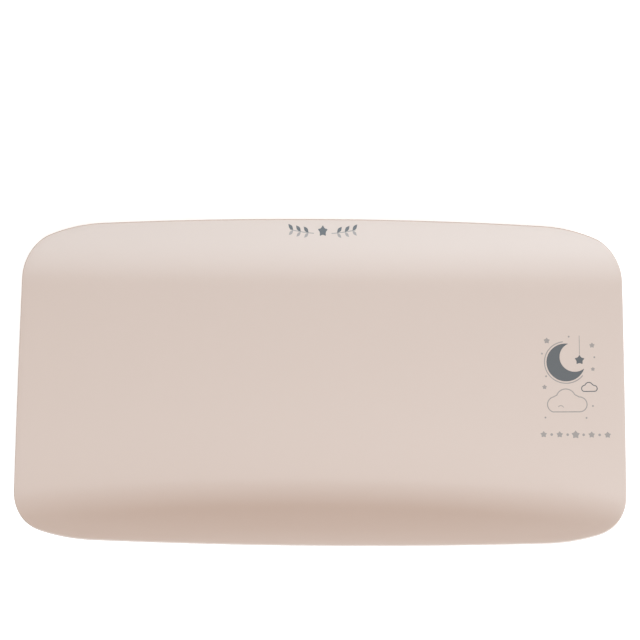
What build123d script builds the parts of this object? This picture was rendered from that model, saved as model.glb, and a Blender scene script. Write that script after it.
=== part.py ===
"""Digital baby weighing scale: a wide tray on a hollow base, with a console in front.

Millimetres, +X to the right, +Y to the rear, +Z up. The origin is at the centre of the footprint,
on the surface that the four feet stand on.
"""

import os
from math import cos, degrees, pi, radians, sin, tan

from build123d import *

os.makedirs("parts", exist_ok=True)

# ---- Tray -----------------------------------------------------------------------------------
TRAY_LENGTH = 550.0
TRAY_WIDTH = 300.0
TRAY_FLOOR_Z = 43.0  # upper face of the flat floor
TRAY_SKIN = 2.6
TRAY_SKIRT = 9.0  # how far the edge is turned down
TRAY_EDGE_ROUND = 2.2

# A quarter of the tray's edge is four tangent arcs, from the middle of a side to the middle of a long
# edge. Two radii are chosen, and those of the corner and of the long edge follow from the tray's size.
SIDE_RADIUS = 18830.0
SHOULDER_RADIUS = 165.0
EDGE_ANGLES = (0.0, 0.3, 70.6, 87.5, 90.0)

REAR_FOLD_Y = 96.0  # where the floor starts to rise towards the rear
REAR_FOLD_RADIUS = 59.0
REAR_SLOPE = 34.0
FRONT_FOLD_Y = -84.0  # the same in front, at the middle of the tray
FRONT_FOLD_RADIUS = 50.0
FRONT_SLOPE = 34.5
FRONT_FLARE_RADIUS = 250.0  # the front wall eases off again towards its rim
FRONT_FOLD_BOW = 2500.0  # the front fold is an arc about a point far in front of the tray
WALL_RUN = TRAY_WIDTH / 4  # sloped length of the walls' profiles, which the outline trims

RIB_THICKNESS = 1.6
RIB_DEPTH = 5.0
EDGE_RIB_X = range(-200, 201, 50)
EDGE_RIB_Y = 66.0  # ribs under the two ends
FLOOR_RIB_SIZE = (460.0, 160.0)
FLOOR_RIB_X = (-180, -110, -35, 35, 110, 180)
FLOOR_RIB_Y = (-45, 0, 45)

# ---- Base -----------------------------------------------------------------------------------
BASE_BOTTOM_Z = 8.0
BASE_TOP_Z = 62.0
BASE_BOTTOM_SIZE = (464.0, 216.0, 50.0)  # length, width, corner radius
BASE_TOP_SIZE = (506.0, 254.0, 60.0)
BASE_WALL = 2.4
BASE_EDGE_ROUND = 5.0
BASE_TO_TRAY_GAP = 0.2
BASE_FLOOR_Z = BASE_BOTTOM_Z + BASE_WALL

# ---- Console: depths are measured from its face, straight back ------------------------------
FACE_TILT = 17.5  # leans back from vertical
FACE_CENTRE = Vector(0, -128, 31)
NOSE_LENGTH = 220.0
NOSE_CORNER = 14.0
NOSE_LOWER_ROUND = 3.0
NOSE_REAR_Y = -95.0
FASCIA_SIZE = (184.0, 34.0, 9.0)  # length, height, corner radius
FASCIA_THICKNESS = 2.4
FASCIA_GAP = 0.3
FASCIA_FLANGE = 2.5
FASCIA_FLANGE_BACK = 4.0
FASCIA_POST_SIZE = (4.0, 14.0)
WINDOW_SIZE = (80.0, 29.0, 4.0)
WINDOW_BACK = 1.4
WINDOW_GAP = 0.1
VIEW_SIZE = (68.0, 21.0, 1.5)
LCD_SIZE = (72.0, 26.0)
LCD_FRONT = 2.8
LCD_BACK = 5.0
LCD_HOLDER_RIM = 2.6
LCD_GAP = 0.2
BACKLIGHT_FRONT = 5.1
BACKLIGHT_BACK = 8.2
CONTACT_STRIP_HEIGHT = 2.2
BOARD_SIZE = (207.0, 32.0)
BOARD_FRONT = 10.4
BOARD_BACK = 12.0
BOARD_POST_PLACES = [(x, y) for x in (-100, 100) for y in (-9, 9)]
BOARD_POST_RADIUS = 3.0
BOARD_POST_FRONT = 2.2  # ends inside the housing's wall, also where that is rounded
BOARD_SCREW_RADIUS = 1.2
PLUG_BACK = 18.0
PLUG_LIFT = 3.0  # the plugs sit this far above the board's middle
LEAD_PLUG_X = (-66.0, -46.0, 46.0, 66.0)
BUZZER_PLACE = (-26.0, 0.0)
BUZZER_RADIUS = 6.0
BUZZER_BACK = 17.0

BUTTON_SIZE = (18.0, 13.0)
BUTTON_PROUD = 0.9
BUTTON_GAP = 0.35
BUTTON_FLANGE = 1.5
BUTTON_FLANGE_FRONT = 2.6
BUTTON_FLANGE_BACK = 3.6
BUTTON_STEM_RADIUS = 2.4
BUTTON_X = {"power": -75.0, "unit": -53.0, "hold": 53.0, "tare": 75.0}
BUTTON_PLACES = [(x, 0) for x in BUTTON_X.values()]
SWITCH_SIDE = 6.0
SWITCH_FRONT = 6.9
PLUNGER_FRONT = 5.9
PLUNGER_BACK = 8.0
PLUNGER_RADIUS = 1.65
PLUNGER_TRAVEL = 0.8  # free depth of the bore behind it
PLUNGER_GAP = 0.25

# ---- Feet and load cells --------------------------------------------------------------------
FOOT_X = 188.0
FOOT_Y = 74.0
CORNERS = {
    "front_left": (-FOOT_X, -FOOT_Y),
    "front_right": (FOOT_X, -FOOT_Y),
    "rear_left": (-FOOT_X, FOOT_Y),
    "rear_right": (FOOT_X, FOOT_Y),
}
FOOT_RADIUS = 18.0
FOOT_BOTTOM_Z = 2.0
FOOT_TOP_Z = 7.0
FOOT_WALL = 2.0
PAD_TOP_Z = 2.9
SPIGOT_RADIUS = 8.5
SPIGOT_TOP_Z = 12.1
FOOT_HOLE_RADIUS = 10.0
LUG_RADIUS = 11.4
LUG_THICKNESS = 1.3
LOAD_BUTTON_RADIUS = 4.0
CELL_SIDE = 34.0
CELL_BOTTOM_Z = 14.0
CELL_TOP_Z = 16.5
CELL_WINDOW = 24.0
CELL_TONGUE = 19.0
CELL_PAD_SIDE = 4.0
GAUGE_SIZE = (11.0, 8.0, 2.4)
HOLDER_SIDE = 41.0
HOLDER_TOP_Z = 19.0
HOLDER_EAR_RADIUS = 4.0
HOLDER_EAR_Y = 25.0
HOLDER_EAR_Z = (14.0, 16.0)
HOLDER_SCREW_RADIUS = 1.25
EAR_PLACES = [(x, y + side * HOLDER_EAR_Y) for x, y in CORNERS.values() for side in (-1, 1)]

# ---- Batteries and their door ---------------------------------------------------------------
CELL_COUNT = 4
CELL_PITCH = 11.0
CELL_AXIS_Z = 16.2
AAA_RADIUS = 5.25
AAA_LENGTH = 43.7  # without the nub
AAA_NUB = (1.9, 0.8)
POCKET_Y = (9.0, 61.0)
POCKET_HALF_X = 23.0
POCKET_TOP_Z = 21.8
POCKET_MIDDLE_Y = sum(POCKET_Y) / 2
CONTACT_SIDE = 9.0
CONTACT_THICKNESS = 0.4
SPRING_LENGTH = 5.5
DOOR_HALF_X = 27.0
DOOR_Y = (4.5, 65.5)
DOOR_THICKNESS = 2.0
DOOR_GAP = 0.4
DOOR_STEP = 0.1  # between the door and the ledge that it lies on
DOOR_FRAME = 2.5  # wall of the compartment outside the door
DOOR_HINGE_Y = DOOR_Y[0] + DOOR_THICKNESS / 2
DOOR_HINGE_Z = BASE_BOTTOM_Z + DOOR_THICKNESS / 2
DOOR_TAB_X = (-16.0, 16.0)
DOOR_TAB_SIZE = (8.0, 3.4)
DOOR_LIP = 0.85  # floor left under the tabs
LATCH_SIZE = (12.4, 1.4)
LATCH_SLIT = (1.2, 12.0)

# ---- Screws and leads -----------------------------------------------------------------------
COVER_SCREW_PLACES = [(-214, 0), (214, 0), (-132, 90), (132, 90), (-55, 92), (55, 92), (-132, -90), (132, -90)]
COVER_SCREW_WELL = 3.5
COVER_SCREW_HEAD = (2.8, 2.2)  # radius, height
COVER_SCREW_TIP_Z = 38.5
BASE_BOSS_RADIUS = 5.25
TRAY_BOSS_RADIUS = 4.0
TRAY_BOSS_Z = 30.0
SCREW_SEAT_Z = 24.0
SCREW_RADIUS = 1.5
SCREW_GAP = 0.05
SENSOR_LEAD_RADIUS = 1.0
BATTERY_LEAD_RADIUS = 0.7
BATTERY_LEADS = {"positive": 7.0, "negative": -7.0}
BATTERY_LEAD_Z = 17.0
LEAD_FLOOR_Z = BASE_FLOOR_Z + SENSOR_LEAD_RADIUS + 0.3


def write(builder, name):
    """Label a finished piece and write it to its own file."""
    builder.part.label = name
    export_step(builder.part, f"parts/{name}.step")


def upright(low, high, places, radius, mode=Mode.ADD):
    """Upright cylinders at these places, between two heights."""
    with BuildSketch(Plane.XY.offset(low)) as discs:
        with Locations(*places):
            Circle(radius)
    extrude(discs.sketch, amount=high - low, mode=mode)


def upright_box(low, high, middle, size, mode=Mode.ADD):
    """A block of this plan size about a middle point, between two heights."""
    with BuildSketch(Plane.XY.offset(low)) as plan:
        with Locations(middle):
            Rectangle(*size)
    extrude(plan.sketch, amount=high - low, mode=mode)


# ==== Tray ===================================================================================


def edge_radii():
    """The four radii of a quarter of the tray's edge; the second and the fourth close the quarter."""
    along = [cos(radians(a)) - cos(radians(b)) for a, b in zip(EDGE_ANGLES, EDGE_ANGLES[1:])]
    across = [sin(radians(b)) - sin(radians(a)) for a, b in zip(EDGE_ANGLES, EDGE_ANGLES[1:])]
    left_x = TRAY_LENGTH / 2 - SIDE_RADIUS * along[0] - SHOULDER_RADIUS * along[2]
    left_y = TRAY_WIDTH / 2 - SIDE_RADIUS * across[0] - SHOULDER_RADIUS * across[2]
    scale = along[1] * across[3] - along[3] * across[1]
    corner = (left_x * across[3] - left_y * along[3]) / scale
    long_edge = (left_y * along[1] - left_x * across[1]) / scale
    return SIDE_RADIUS, corner, SHOULDER_RADIUS, long_edge


def tray_face(inset):
    """The tray's plan, with its edge moved in by inset."""
    quarter = [(radius - inset, b - a) for radius, a, b in zip(edge_radii(), EDGE_ANGLES, EDGE_ANGLES[1:])]
    with BuildSketch() as face:
        with BuildLine():
            place = Vector(TRAY_LENGTH / 2 - inset, 0)
            heading = Vector(0, 1)
            for radius, turn in (quarter + quarter[::-1]) * 2:
                arc = JernArc(place, heading, radius, turn)
                place = arc @ 1
                heading = arc % 1
        make_face()
    return face.sketch


def wall_profile(plane, start, fold, radius, slope, depth, flare=None):
    """The section under the floor and one wall of the tray, on a plane whose x runs outwards."""
    top = TRAY_FLOOR_Z - depth
    with BuildSketch(plane) as profile:
        with BuildLine():
            floor = Line((start, top), (fold, top))
            bend = JernArc(floor @ 1, (1, 0), radius + depth, slope)
            if flare:
                wall = JernArc(bend @ 1, bend % 1, flare - depth, -degrees(WALL_RUN / flare))
            else:
                wall = PolarLine(bend @ 1, WALL_RUN, slope)
            Polyline(wall @ 1, ((wall @ 1).X, 0), (start, 0), floor @ 0)
        make_face()
    return profile.sketch


def below_tray(depth):
    """Everything from z = 0 up to the tray's upper surface, taken in by depth along its normal."""
    rear_start = -60.0
    front_start = 31.0  # in front of the middle; at the tray's ends this still meets the rear block
    sweep_angle = 14.0
    fold_axis = Axis((0, FRONT_FOLD_Y - FRONT_FOLD_BOW, 0), (0, 0, 1))
    forward = Plane(origin=(0, 0, 0), x_dir=(0, -1, 0), z_dir=(-1, 0, 0))
    rear = wall_profile(Plane.YZ, rear_start, REAR_FOLD_Y, REAR_FOLD_RADIUS, REAR_SLOPE, depth)
    front_bend = (-FRONT_FOLD_Y, FRONT_FOLD_RADIUS, FRONT_SLOPE)
    front = wall_profile(forward, front_start, *front_bend, depth, FRONT_FLARE_RADIUS)
    with BuildPart() as block:
        extrude(rear, amount=TRAY_LENGTH / 2 + 5, both=True)
        revolve(front.rotate(fold_axis, -sweep_angle / 2), axis=fold_axis, revolution_arc=sweep_angle)
    return block.part


def tray_band(inset, top_depth, thickness):
    """The tray's plan moved in by inset, between its surface at top_depth and the same surface lower."""
    with BuildPart() as band:
        extrude(tray_face(inset), amount=TRAY_FLOOR_Z + WALL_RUN)
        add(below_tray(top_depth), mode=Mode.INTERSECT)
        add(below_tray(top_depth).moved(Location((0, 0, -thickness))), mode=Mode.SUBTRACT)
    return band.part


def edge_ribs():
    """Ribs under the tray's edge, between its skirt and the base's wall."""
    bite = 0.4  # how far the ribs reach into the skin and the skirt
    with BuildPart() as ribs:
        add(tray_band(TRAY_SKIN - bite, TRAY_SKIN - bite, RIB_DEPTH))
        with BuildSketch() as kept:
            with Locations(*[(x, 0) for x in EDGE_RIB_X]):
                Rectangle(RIB_THICKNESS, TRAY_WIDTH)
            with Locations((0, -EDGE_RIB_Y), (0, EDGE_RIB_Y)):
                Rectangle(TRAY_LENGTH, RIB_THICKNESS)
            RectangleRounded(BASE_TOP_SIZE[0] + 2, BASE_TOP_SIZE[1] + 2, BASE_TOP_SIZE[2], mode=Mode.SUBTRACT)
        extrude(kept.sketch, amount=TRAY_FLOOR_Z + WALL_RUN, mode=Mode.INTERSECT)
    return ribs.part


def make_tray():
    """The weighing tray: a curved skin with a turned-down edge, ribs and screw bosses."""
    skin_middle_z = TRAY_FLOOR_Z - TRAY_SKIN / 2
    with BuildPart() as tray:
        add(tray_band(0, 0, TRAY_SKIRT))
        rim = []
        for side in tray.faces().filter_by(lambda face: abs(face.normal_at().Z) < 0.01):
            rim += [e for e in side.edges() if e.center().Z > side.center().Z and abs((e % 0.5).Z) < 0.9]
        fillet(rim, TRAY_EDGE_ROUND)
        add(tray_band(TRAY_SKIN, TRAY_SKIN, TRAY_SKIRT), mode=Mode.SUBTRACT)
        add(edge_ribs())
        with BuildSketch(Plane.XY.offset(TRAY_FLOOR_Z - TRAY_SKIN - RIB_DEPTH)):
            with Locations(*[(0, y) for y in FLOOR_RIB_Y]):
                Rectangle(FLOOR_RIB_SIZE[0], RIB_THICKNESS)
            with Locations(*[(x, 0) for x in FLOOR_RIB_X]):
                Rectangle(RIB_THICKNESS, FLOOR_RIB_SIZE[1])
        extrude(amount=RIB_DEPTH + TRAY_SKIN / 2)
        upright(TRAY_BOSS_Z, skin_middle_z, COVER_SCREW_PLACES, TRAY_BOSS_RADIUS)
        upright(TRAY_BOSS_Z, COVER_SCREW_TIP_Z + 1, COVER_SCREW_PLACES, SCREW_RADIUS + SCREW_GAP, Mode.SUBTRACT)
    return tray


write(make_tray(), "weighing_tray")


# ==== Base and console housing ===============================================================


def base_section(z, inset):
    """The base's plan at height z, with its wall moved in by inset."""
    share = (z - BASE_BOTTOM_Z) / (BASE_TOP_Z - BASE_BOTTOM_Z)
    length, width, corner = [a + share * (b - a) for a, b in zip(BASE_BOTTOM_SIZE, BASE_TOP_SIZE)]
    with BuildSketch(Plane.XY.offset(z)) as section:
        RectangleRounded(length - 2 * inset, width - 2 * inset, corner - inset)
    return section.sketch


def face_plane(depth):
    """A plane this far behind the console's face; its x runs right, its y up the face, its z out of it."""
    outward = Vector(0, -cos(radians(FACE_TILT)), sin(radians(FACE_TILT)))
    return Plane(origin=FACE_CENTRE - outward * depth, x_dir=(1, 0, 0), z_dir=outward)


FACE_AXIS = Axis(FACE_CENTRE, face_plane(0).z_dir)


def face_posts(front, back, places, radius, mode=Mode.ADD):
    """Cylinders square to the console's face at these places on it, between two depths."""
    with BuildSketch(face_plane(back)) as discs:
        with Locations(*places):
            Circle(radius)
    extrude(discs.sketch, amount=back - front, mode=mode)


def face_plate(front, back, size, corner, places=((0, 0),), mode=Mode.ADD):
    """Round-cornered plates parallel to the console's face at these places on it, between two depths."""
    with BuildSketch(face_plane(back)) as plates:
        with Locations(*places):
            RectangleRounded(*size, corner)
    extrude(plates.sketch, amount=back - front, mode=mode)


def face_slots(front, back, size, places, mode=Mode.ADD):
    """Oval plates parallel to the console's face at these places on it, between two depths."""
    with BuildSketch(face_plane(back)) as ovals:
        with Locations(*places):
            SlotOverall(*size)
    extrude(ovals.sketch, amount=back - front, mode=mode)


def nose_block(inset):
    """The console housing as a solid block, with its faces moved in by inset."""
    low = BASE_BOTTOM_Z + inset
    lean = tan(radians(FACE_TILT))
    face_y = FACE_CENTRE.Y + inset / cos(radians(FACE_TILT))
    with BuildPart() as block:
        with BuildSketch(Plane.YZ):
            with BuildLine():
                Polyline(
                    (NOSE_REAR_Y, low),
                    (face_y + (low - FACE_CENTRE.Z) * lean, low),
                    (face_y + (BASE_TOP_Z - FACE_CENTRE.Z) * lean, BASE_TOP_Z),
                    (NOSE_REAR_Y, BASE_TOP_Z),
                    close=True,
                )
            make_face()
        extrude(amount=NOSE_LENGTH / 2 - inset, both=True)
        face = block.faces().sort_by(FACE_AXIS)[-1]
        fillet([e for e in face.edges() if abs((e % 0.5).X) < 0.5], NOSE_CORNER - inset)
        if inset == 0:
            underside = block.faces().sort_by(Axis.Z)[0]
            fillet([e for e in underside.edges() if e.center().Y < NOSE_REAR_Y - 1], NOSE_LOWER_ROUND)
    return block.part


def base_block(inset):
    """The base and its console housing as one solid block, with walls and bottom moved in by inset."""
    with BuildPart() as block:
        loft([base_section(BASE_BOTTOM_Z + inset, inset), base_section(BASE_TOP_Z, inset)])
        fillet(block.edges().group_by(Axis.Z)[0], BASE_EDGE_ROUND - inset)
        add(nose_block(inset))
    return block.part


def make_base():
    """The base cover: a tub with the console housing, the battery compartment, bosses and foot holes."""
    floor_middle_z = BASE_BOTTOM_Z + BASE_WALL / 2
    pad_places = [
        (x + side_x * (CELL_SIDE / 2 - 3), y + side_y * (CELL_SIDE / 2 - 3))
        for x, y in CORNERS.values()
        for side_x in (-1, 1)
        for side_y in (-1, 1)
    ]
    compartment = (0, sum(DOOR_Y) / 2)
    door_size = (2 * DOOR_HALF_X, DOOR_Y[1] - DOOR_Y[0])
    ledge_z = BASE_BOTTOM_Z + DOOR_THICKNESS + DOOR_STEP
    length, height, corner = FASCIA_SIZE
    with BuildPart() as base:
        add(base_block(0))
        add(base_block(BASE_WALL), mode=Mode.SUBTRACT)
        # bosses for the cover screws, which meet the tray's bosses
        upright(floor_middle_z, TRAY_BOSS_Z, COVER_SCREW_PLACES, BASE_BOSS_RADIUS)
        upright(BASE_BOTTOM_Z, SCREW_SEAT_Z, COVER_SCREW_PLACES, COVER_SCREW_WELL, Mode.SUBTRACT)
        upright(BASE_BOTTOM_Z, TRAY_BOSS_Z, COVER_SCREW_PLACES, SCREW_RADIUS + 0.2, Mode.SUBTRACT)
        # holes for the feet, pads under the load cells' frames and bosses under their holders' ears
        upright(BASE_BOTTOM_Z, BASE_FLOOR_Z, CORNERS.values(), FOOT_HOLE_RADIUS, Mode.SUBTRACT)
        for place in pad_places:
            upright_box(floor_middle_z, CELL_BOTTOM_Z, place, (CELL_PAD_SIDE, CELL_PAD_SIDE))
        upright(floor_middle_z, HOLDER_EAR_Z[0], EAR_PLACES, HOLDER_EAR_RADIUS - 0.4)
        upright(BASE_FLOOR_Z, HOLDER_EAR_Z[0], EAR_PLACES, HOLDER_SCREW_RADIUS + SCREW_GAP, Mode.SUBTRACT)
        # posts that carry the board, and the opening for the fascia
        face_posts(BOARD_POST_FRONT, BOARD_FRONT, BOARD_POST_PLACES, BOARD_POST_RADIUS)
        pilot = BOARD_SCREW_RADIUS + SCREW_GAP
        face_posts(FASCIA_FLANGE_BACK, BOARD_FRONT, BOARD_POST_PLACES, pilot, Mode.SUBTRACT)
        opening = (length + 2 * FASCIA_GAP, height + 2 * FASCIA_GAP)
        face_plate(-1, FASCIA_THICKNESS + 1, opening, corner + FASCIA_GAP, mode=Mode.SUBTRACT)
        # battery compartment: a block with a pocket, and a ledge that the door lies on
        outside = (door_size[0] + 2 * DOOR_FRAME, door_size[1] + 2 * DOOR_FRAME)
        doorway = (door_size[0] + 2 * DOOR_GAP, door_size[1] + 2 * DOOR_GAP)
        pocket = (2 * POCKET_HALF_X, POCKET_Y[1] - POCKET_Y[0])
        upright_box(BASE_BOTTOM_Z, POCKET_TOP_Z + 2, compartment, outside)
        upright_box(BASE_BOTTOM_Z, ledge_z, compartment, doorway, Mode.SUBTRACT)
        upright_box(BASE_BOTTOM_Z, POCKET_TOP_Z, compartment, pocket, Mode.SUBTRACT)
        # slots for the door's tabs, over a lip of the floor, and a notch for its latch
        slot_size = (DOOR_TAB_SIZE[0] + 2 * DOOR_GAP, DOOR_TAB_SIZE[1] + 3)
        for x in DOOR_TAB_X:
            slot_z = (BASE_BOTTOM_Z + DOOR_LIP, BASE_BOTTOM_Z + DOOR_LIP + 4.6)
            upright_box(*slot_z, (x, DOOR_HINGE_Y - 0.7), slot_size, Mode.SUBTRACT)
        notch = (LATCH_SIZE[0] + 2 * DOOR_GAP, 2 * (LATCH_SIZE[1] + DOOR_GAP))
        upright_box(BASE_BOTTOM_Z, ledge_z, (0, DOOR_Y[1]), notch, Mode.SUBTRACT)
        # the top edge follows the tray
        add(below_tray(TRAY_SKIN + BASE_TO_TRAY_GAP), mode=Mode.INTERSECT)
    return base


write(make_base(), "base_cover")


# ==== Console ================================================================================


def make_fascia():
    """The console's front plate, with a flange behind the housing's wall and its openings."""
    length, height, corner = FASCIA_SIZE
    outside = (length + 2 * FASCIA_FLANGE, height + 2 * FASCIA_FLANGE)
    post_places = [(-length / 2 + 3, 0), (length / 2 - 3, 0)]
    window_recess = (WINDOW_SIZE[0] + 2 * WINDOW_GAP, WINDOW_SIZE[1] + 2 * WINDOW_GAP)
    button_hole = (BUTTON_SIZE[0] + 2 * BUTTON_GAP, BUTTON_SIZE[1] + 2 * BUTTON_GAP)
    through = (-1, FASCIA_THICKNESS + 1)
    with BuildPart() as fascia:
        face_plate(0, FASCIA_THICKNESS, (length, height), corner)
        face_plate(FASCIA_THICKNESS, FASCIA_FLANGE_BACK, outside, corner + FASCIA_FLANGE)
        hollow = (length - 5, height - 4)
        face_plate(FASCIA_THICKNESS, FASCIA_FLANGE_BACK, hollow, corner - 2, mode=Mode.SUBTRACT)
        fillet(fascia.faces().sort_by(FACE_AXIS)[-1].outer_wire().edges(), 0.4)
        face_plate(FASCIA_THICKNESS - 0.5, BOARD_FRONT, FASCIA_POST_SIZE, 1, post_places)
        face_plate(-1, WINDOW_BACK, window_recess, WINDOW_SIZE[2] + WINDOW_GAP, mode=Mode.SUBTRACT)
        face_plate(*through, VIEW_SIZE[:2], VIEW_SIZE[2], mode=Mode.SUBTRACT)
        face_slots(*through, button_hole, BUTTON_PLACES, Mode.SUBTRACT)
    return fascia


def make_face_plate(front, back, size, corner=0.5, place=(0, 0)):
    """One flat piece parallel to the console's face."""
    with BuildPart() as plate:
        face_plate(front, back, size, corner, [place])
    return plate


def make_lcd_holder():
    """The frame that stands on the board and holds the display and its light."""
    outside = (LCD_SIZE[0] + 2 * LCD_HOLDER_RIM, LCD_SIZE[1] + LCD_HOLDER_RIM)
    inside = (LCD_SIZE[0] + 2 * LCD_GAP, LCD_SIZE[1] + 2 * LCD_GAP)
    with BuildPart() as holder:
        face_plate(LCD_FRONT - 0.3, BOARD_FRONT, outside, 1.5)
        face_plate(LCD_FRONT - 0.3, BOARD_FRONT, inside, 0.3, mode=Mode.SUBTRACT)
    return holder


def make_board():
    """The main board, with its four screw holes."""
    with BuildPart() as board:
        face_plate(BOARD_FRONT, BOARD_BACK, BOARD_SIZE, 2)
        face_posts(BOARD_FRONT, BOARD_BACK, BOARD_POST_PLACES, BOARD_SCREW_RADIUS + 0.2, Mode.SUBTRACT)
    return board


def make_button(x):
    """A button: a round-edged oval cap, a flange behind the fascia and a stem down to its switch."""
    flange_size = (BUTTON_SIZE[0] + 2 * BUTTON_FLANGE, BUTTON_SIZE[1] + 2 * BUTTON_FLANGE)
    with BuildPart() as button:
        face_slots(-BUTTON_PROUD, BUTTON_FLANGE_FRONT, BUTTON_SIZE, [(x, 0)])
        fillet(button.faces().sort_by(FACE_AXIS)[-1].outer_wire().edges(), 0.6)
        face_slots(BUTTON_FLANGE_FRONT, BUTTON_FLANGE_BACK, flange_size, [(x, 0)])
        face_posts(BUTTON_FLANGE_BACK, PLUNGER_FRONT, [(x, 0)], BUTTON_STEM_RADIUS)
    return button


def make_plunger(x):
    """The small plunger of the switch behind one button."""
    with BuildPart() as plunger:
        face_posts(PLUNGER_FRONT, PLUNGER_BACK, [(x, 0)], PLUNGER_RADIUS)
    return plunger


def make_switches():
    """The bodies of the four switches on the board, each with a bore for its plunger."""
    bore = (SWITCH_FRONT, PLUNGER_BACK + PLUNGER_TRAVEL)
    with BuildPart() as switches:
        face_plate(SWITCH_FRONT, BOARD_FRONT, (SWITCH_SIDE, SWITCH_SIDE), 0.4, BUTTON_PLACES)
        face_posts(*bore, BUTTON_PLACES, PLUNGER_RADIUS + PLUNGER_GAP, Mode.SUBTRACT)
    return switches


def make_board_blocks(places, size, back):
    """Like blocks on the back of the board, such as plugs and chips."""
    with BuildPart() as blocks:
        face_plate(BOARD_BACK, back, size, 0.3, places)
    return blocks


def make_buzzer():
    """The round sounder on the back of the board, with its sound hole."""
    with BuildPart() as buzzer:
        face_posts(BOARD_BACK, BUZZER_BACK, [BUZZER_PLACE], BUZZER_RADIUS)
        face_posts(BUZZER_BACK - 1, BUZZER_BACK, [BUZZER_PLACE], 1, Mode.SUBTRACT)
    return buzzer


def make_board_screws():
    """The four screws that hold the board on the base's posts."""
    with BuildPart() as screws:
        face_posts(BOARD_FRONT - 5, BOARD_BACK, BOARD_POST_PLACES, BOARD_SCREW_RADIUS)
        face_posts(BOARD_BACK, BOARD_BACK + 1.6, BOARD_POST_PLACES, 2 * BOARD_SCREW_RADIUS)
    return screws


write(make_fascia(), "console_fascia")
write(make_face_plate(0.05, WINDOW_BACK, WINDOW_SIZE[:2], WINDOW_SIZE[2]), "display_window")
write(make_face_plate(LCD_FRONT, LCD_BACK, LCD_SIZE), "lcd_glass")
write(
    make_face_plate(BACKLIGHT_FRONT, BACKLIGHT_BACK, (LCD_SIZE[0] - 4, LCD_SIZE[1] - 5), place=(0, 2.2)),
    "lcd_backlight",
)
write(
    make_face_plate(
        LCD_BACK,
        BOARD_FRONT,
        (LCD_SIZE[0] - 6, CONTACT_STRIP_HEIGHT),
        corner=0.3,
        place=(0, (CONTACT_STRIP_HEIGHT - LCD_SIZE[1]) / 2 + 0.5),
    ),
    "lcd_contact_strip",
)
write(make_lcd_holder(), "lcd_holder")
write(make_board(), "main_board")
for name, x in BUTTON_X.items():
    write(make_button(x), f"{name}_button")
    write(make_plunger(x), f"{name}_switch_plunger")
write(make_switches(), "switch_bodies")
write(make_board_blocks([(x, PLUG_LIFT) for x in LEAD_PLUG_X], (7, 6), PLUG_BACK), "load_cell_plugs")
write(make_board_blocks([(0, PLUG_LIFT)], (22, 6), PLUG_BACK), "battery_plug")
write(make_board_blocks([(26, 0)], (14, 14), BOARD_BACK + 1.6), "controller_chip")
write(make_board_blocks([(-84, 6)], (10, 6), BOARD_BACK + 1.5), "converter_chip")
write(make_buzzer(), "buzzer")
write(make_board_screws(), "board_screws")


# ==== Feet and load cells ====================================================================


def make_foot(place):
    """A foot: a round cup under the base, and a spigot whose lugs keep it in its hole."""
    with BuildPart() as foot:
        upright(FOOT_BOTTOM_Z, FOOT_TOP_Z, [place], FOOT_RADIUS)
        fillet(foot.edges().group_by(Axis.Z)[0], 1.2)
        fillet(foot.edges().group_by(Axis.Z)[-1], 0.8)
        upright(FOOT_BOTTOM_Z - 1, PAD_TOP_Z + 0.1, [place], FOOT_RADIUS - FOOT_WALL, Mode.SUBTRACT)
        upright(FOOT_TOP_Z, SPIGOT_TOP_Z, [place], SPIGOT_RADIUS)
        with BuildSketch(Plane.XY.offset(SPIGOT_TOP_Z - LUG_THICKNESS)):
            with Locations(place):
                Circle(LUG_RADIUS)
                with PolarLocations(LUG_RADIUS - 0.4, 4, 45):
                    Rectangle(6, 9, mode=Mode.SUBTRACT)
        extrude(amount=LUG_THICKNESS)
    return foot


def make_foot_pad(place):
    """The rubber pad in a foot's cup; it stands on the floor."""
    with BuildPart() as pad:
        upright(0, PAD_TOP_Z, [place], FOOT_RADIUS - FOOT_WALL - 0.2)
        fillet(pad.edges().group_by(Axis.Z)[0], 0.8)
    return pad


def make_load_button(place):
    """The rubber button between a foot and its load cell's tongue."""
    with BuildPart() as button:
        upright(SPIGOT_TOP_Z, CELL_BOTTOM_Z, [place], LOAD_BUTTON_RADIUS)
    return button


def make_load_cell(place, inward):
    """A load cell: a steel plate whose tongue hangs on a neck on the side away from the middle."""
    with BuildPart() as cell:
        with BuildSketch(Plane.XY.offset(CELL_BOTTOM_Z)):
            with Locations(place):
                RectangleRounded(CELL_SIDE, CELL_SIDE, 3)
                RectangleRounded(CELL_WINDOW, CELL_WINDOW, 1.5, mode=Mode.SUBTRACT)
                RectangleRounded(CELL_TONGUE, CELL_TONGUE, 1.5)
                with Locations((-inward * (CELL_WINDOW + CELL_TONGUE) / 4, 0)):
                    Rectangle(5, 9)
        extrude(amount=CELL_TOP_Z - CELL_BOTTOM_Z)
    return cell


def make_strain_gauges():
    """The coated strain gauge on each load cell's tongue, where its lead is soldered."""
    length, width, height = GAUGE_SIZE
    with BuildPart() as gauges:
        with BuildSketch(Plane.XY.offset(CELL_TOP_Z)):
            with Locations(*CORNERS.values()):
                RectangleRounded(length, width, 1.5)
        extrude(amount=height)
        fillet(gauges.edges().group_by(Axis.Z)[-1], 0.7)
    return gauges


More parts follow.
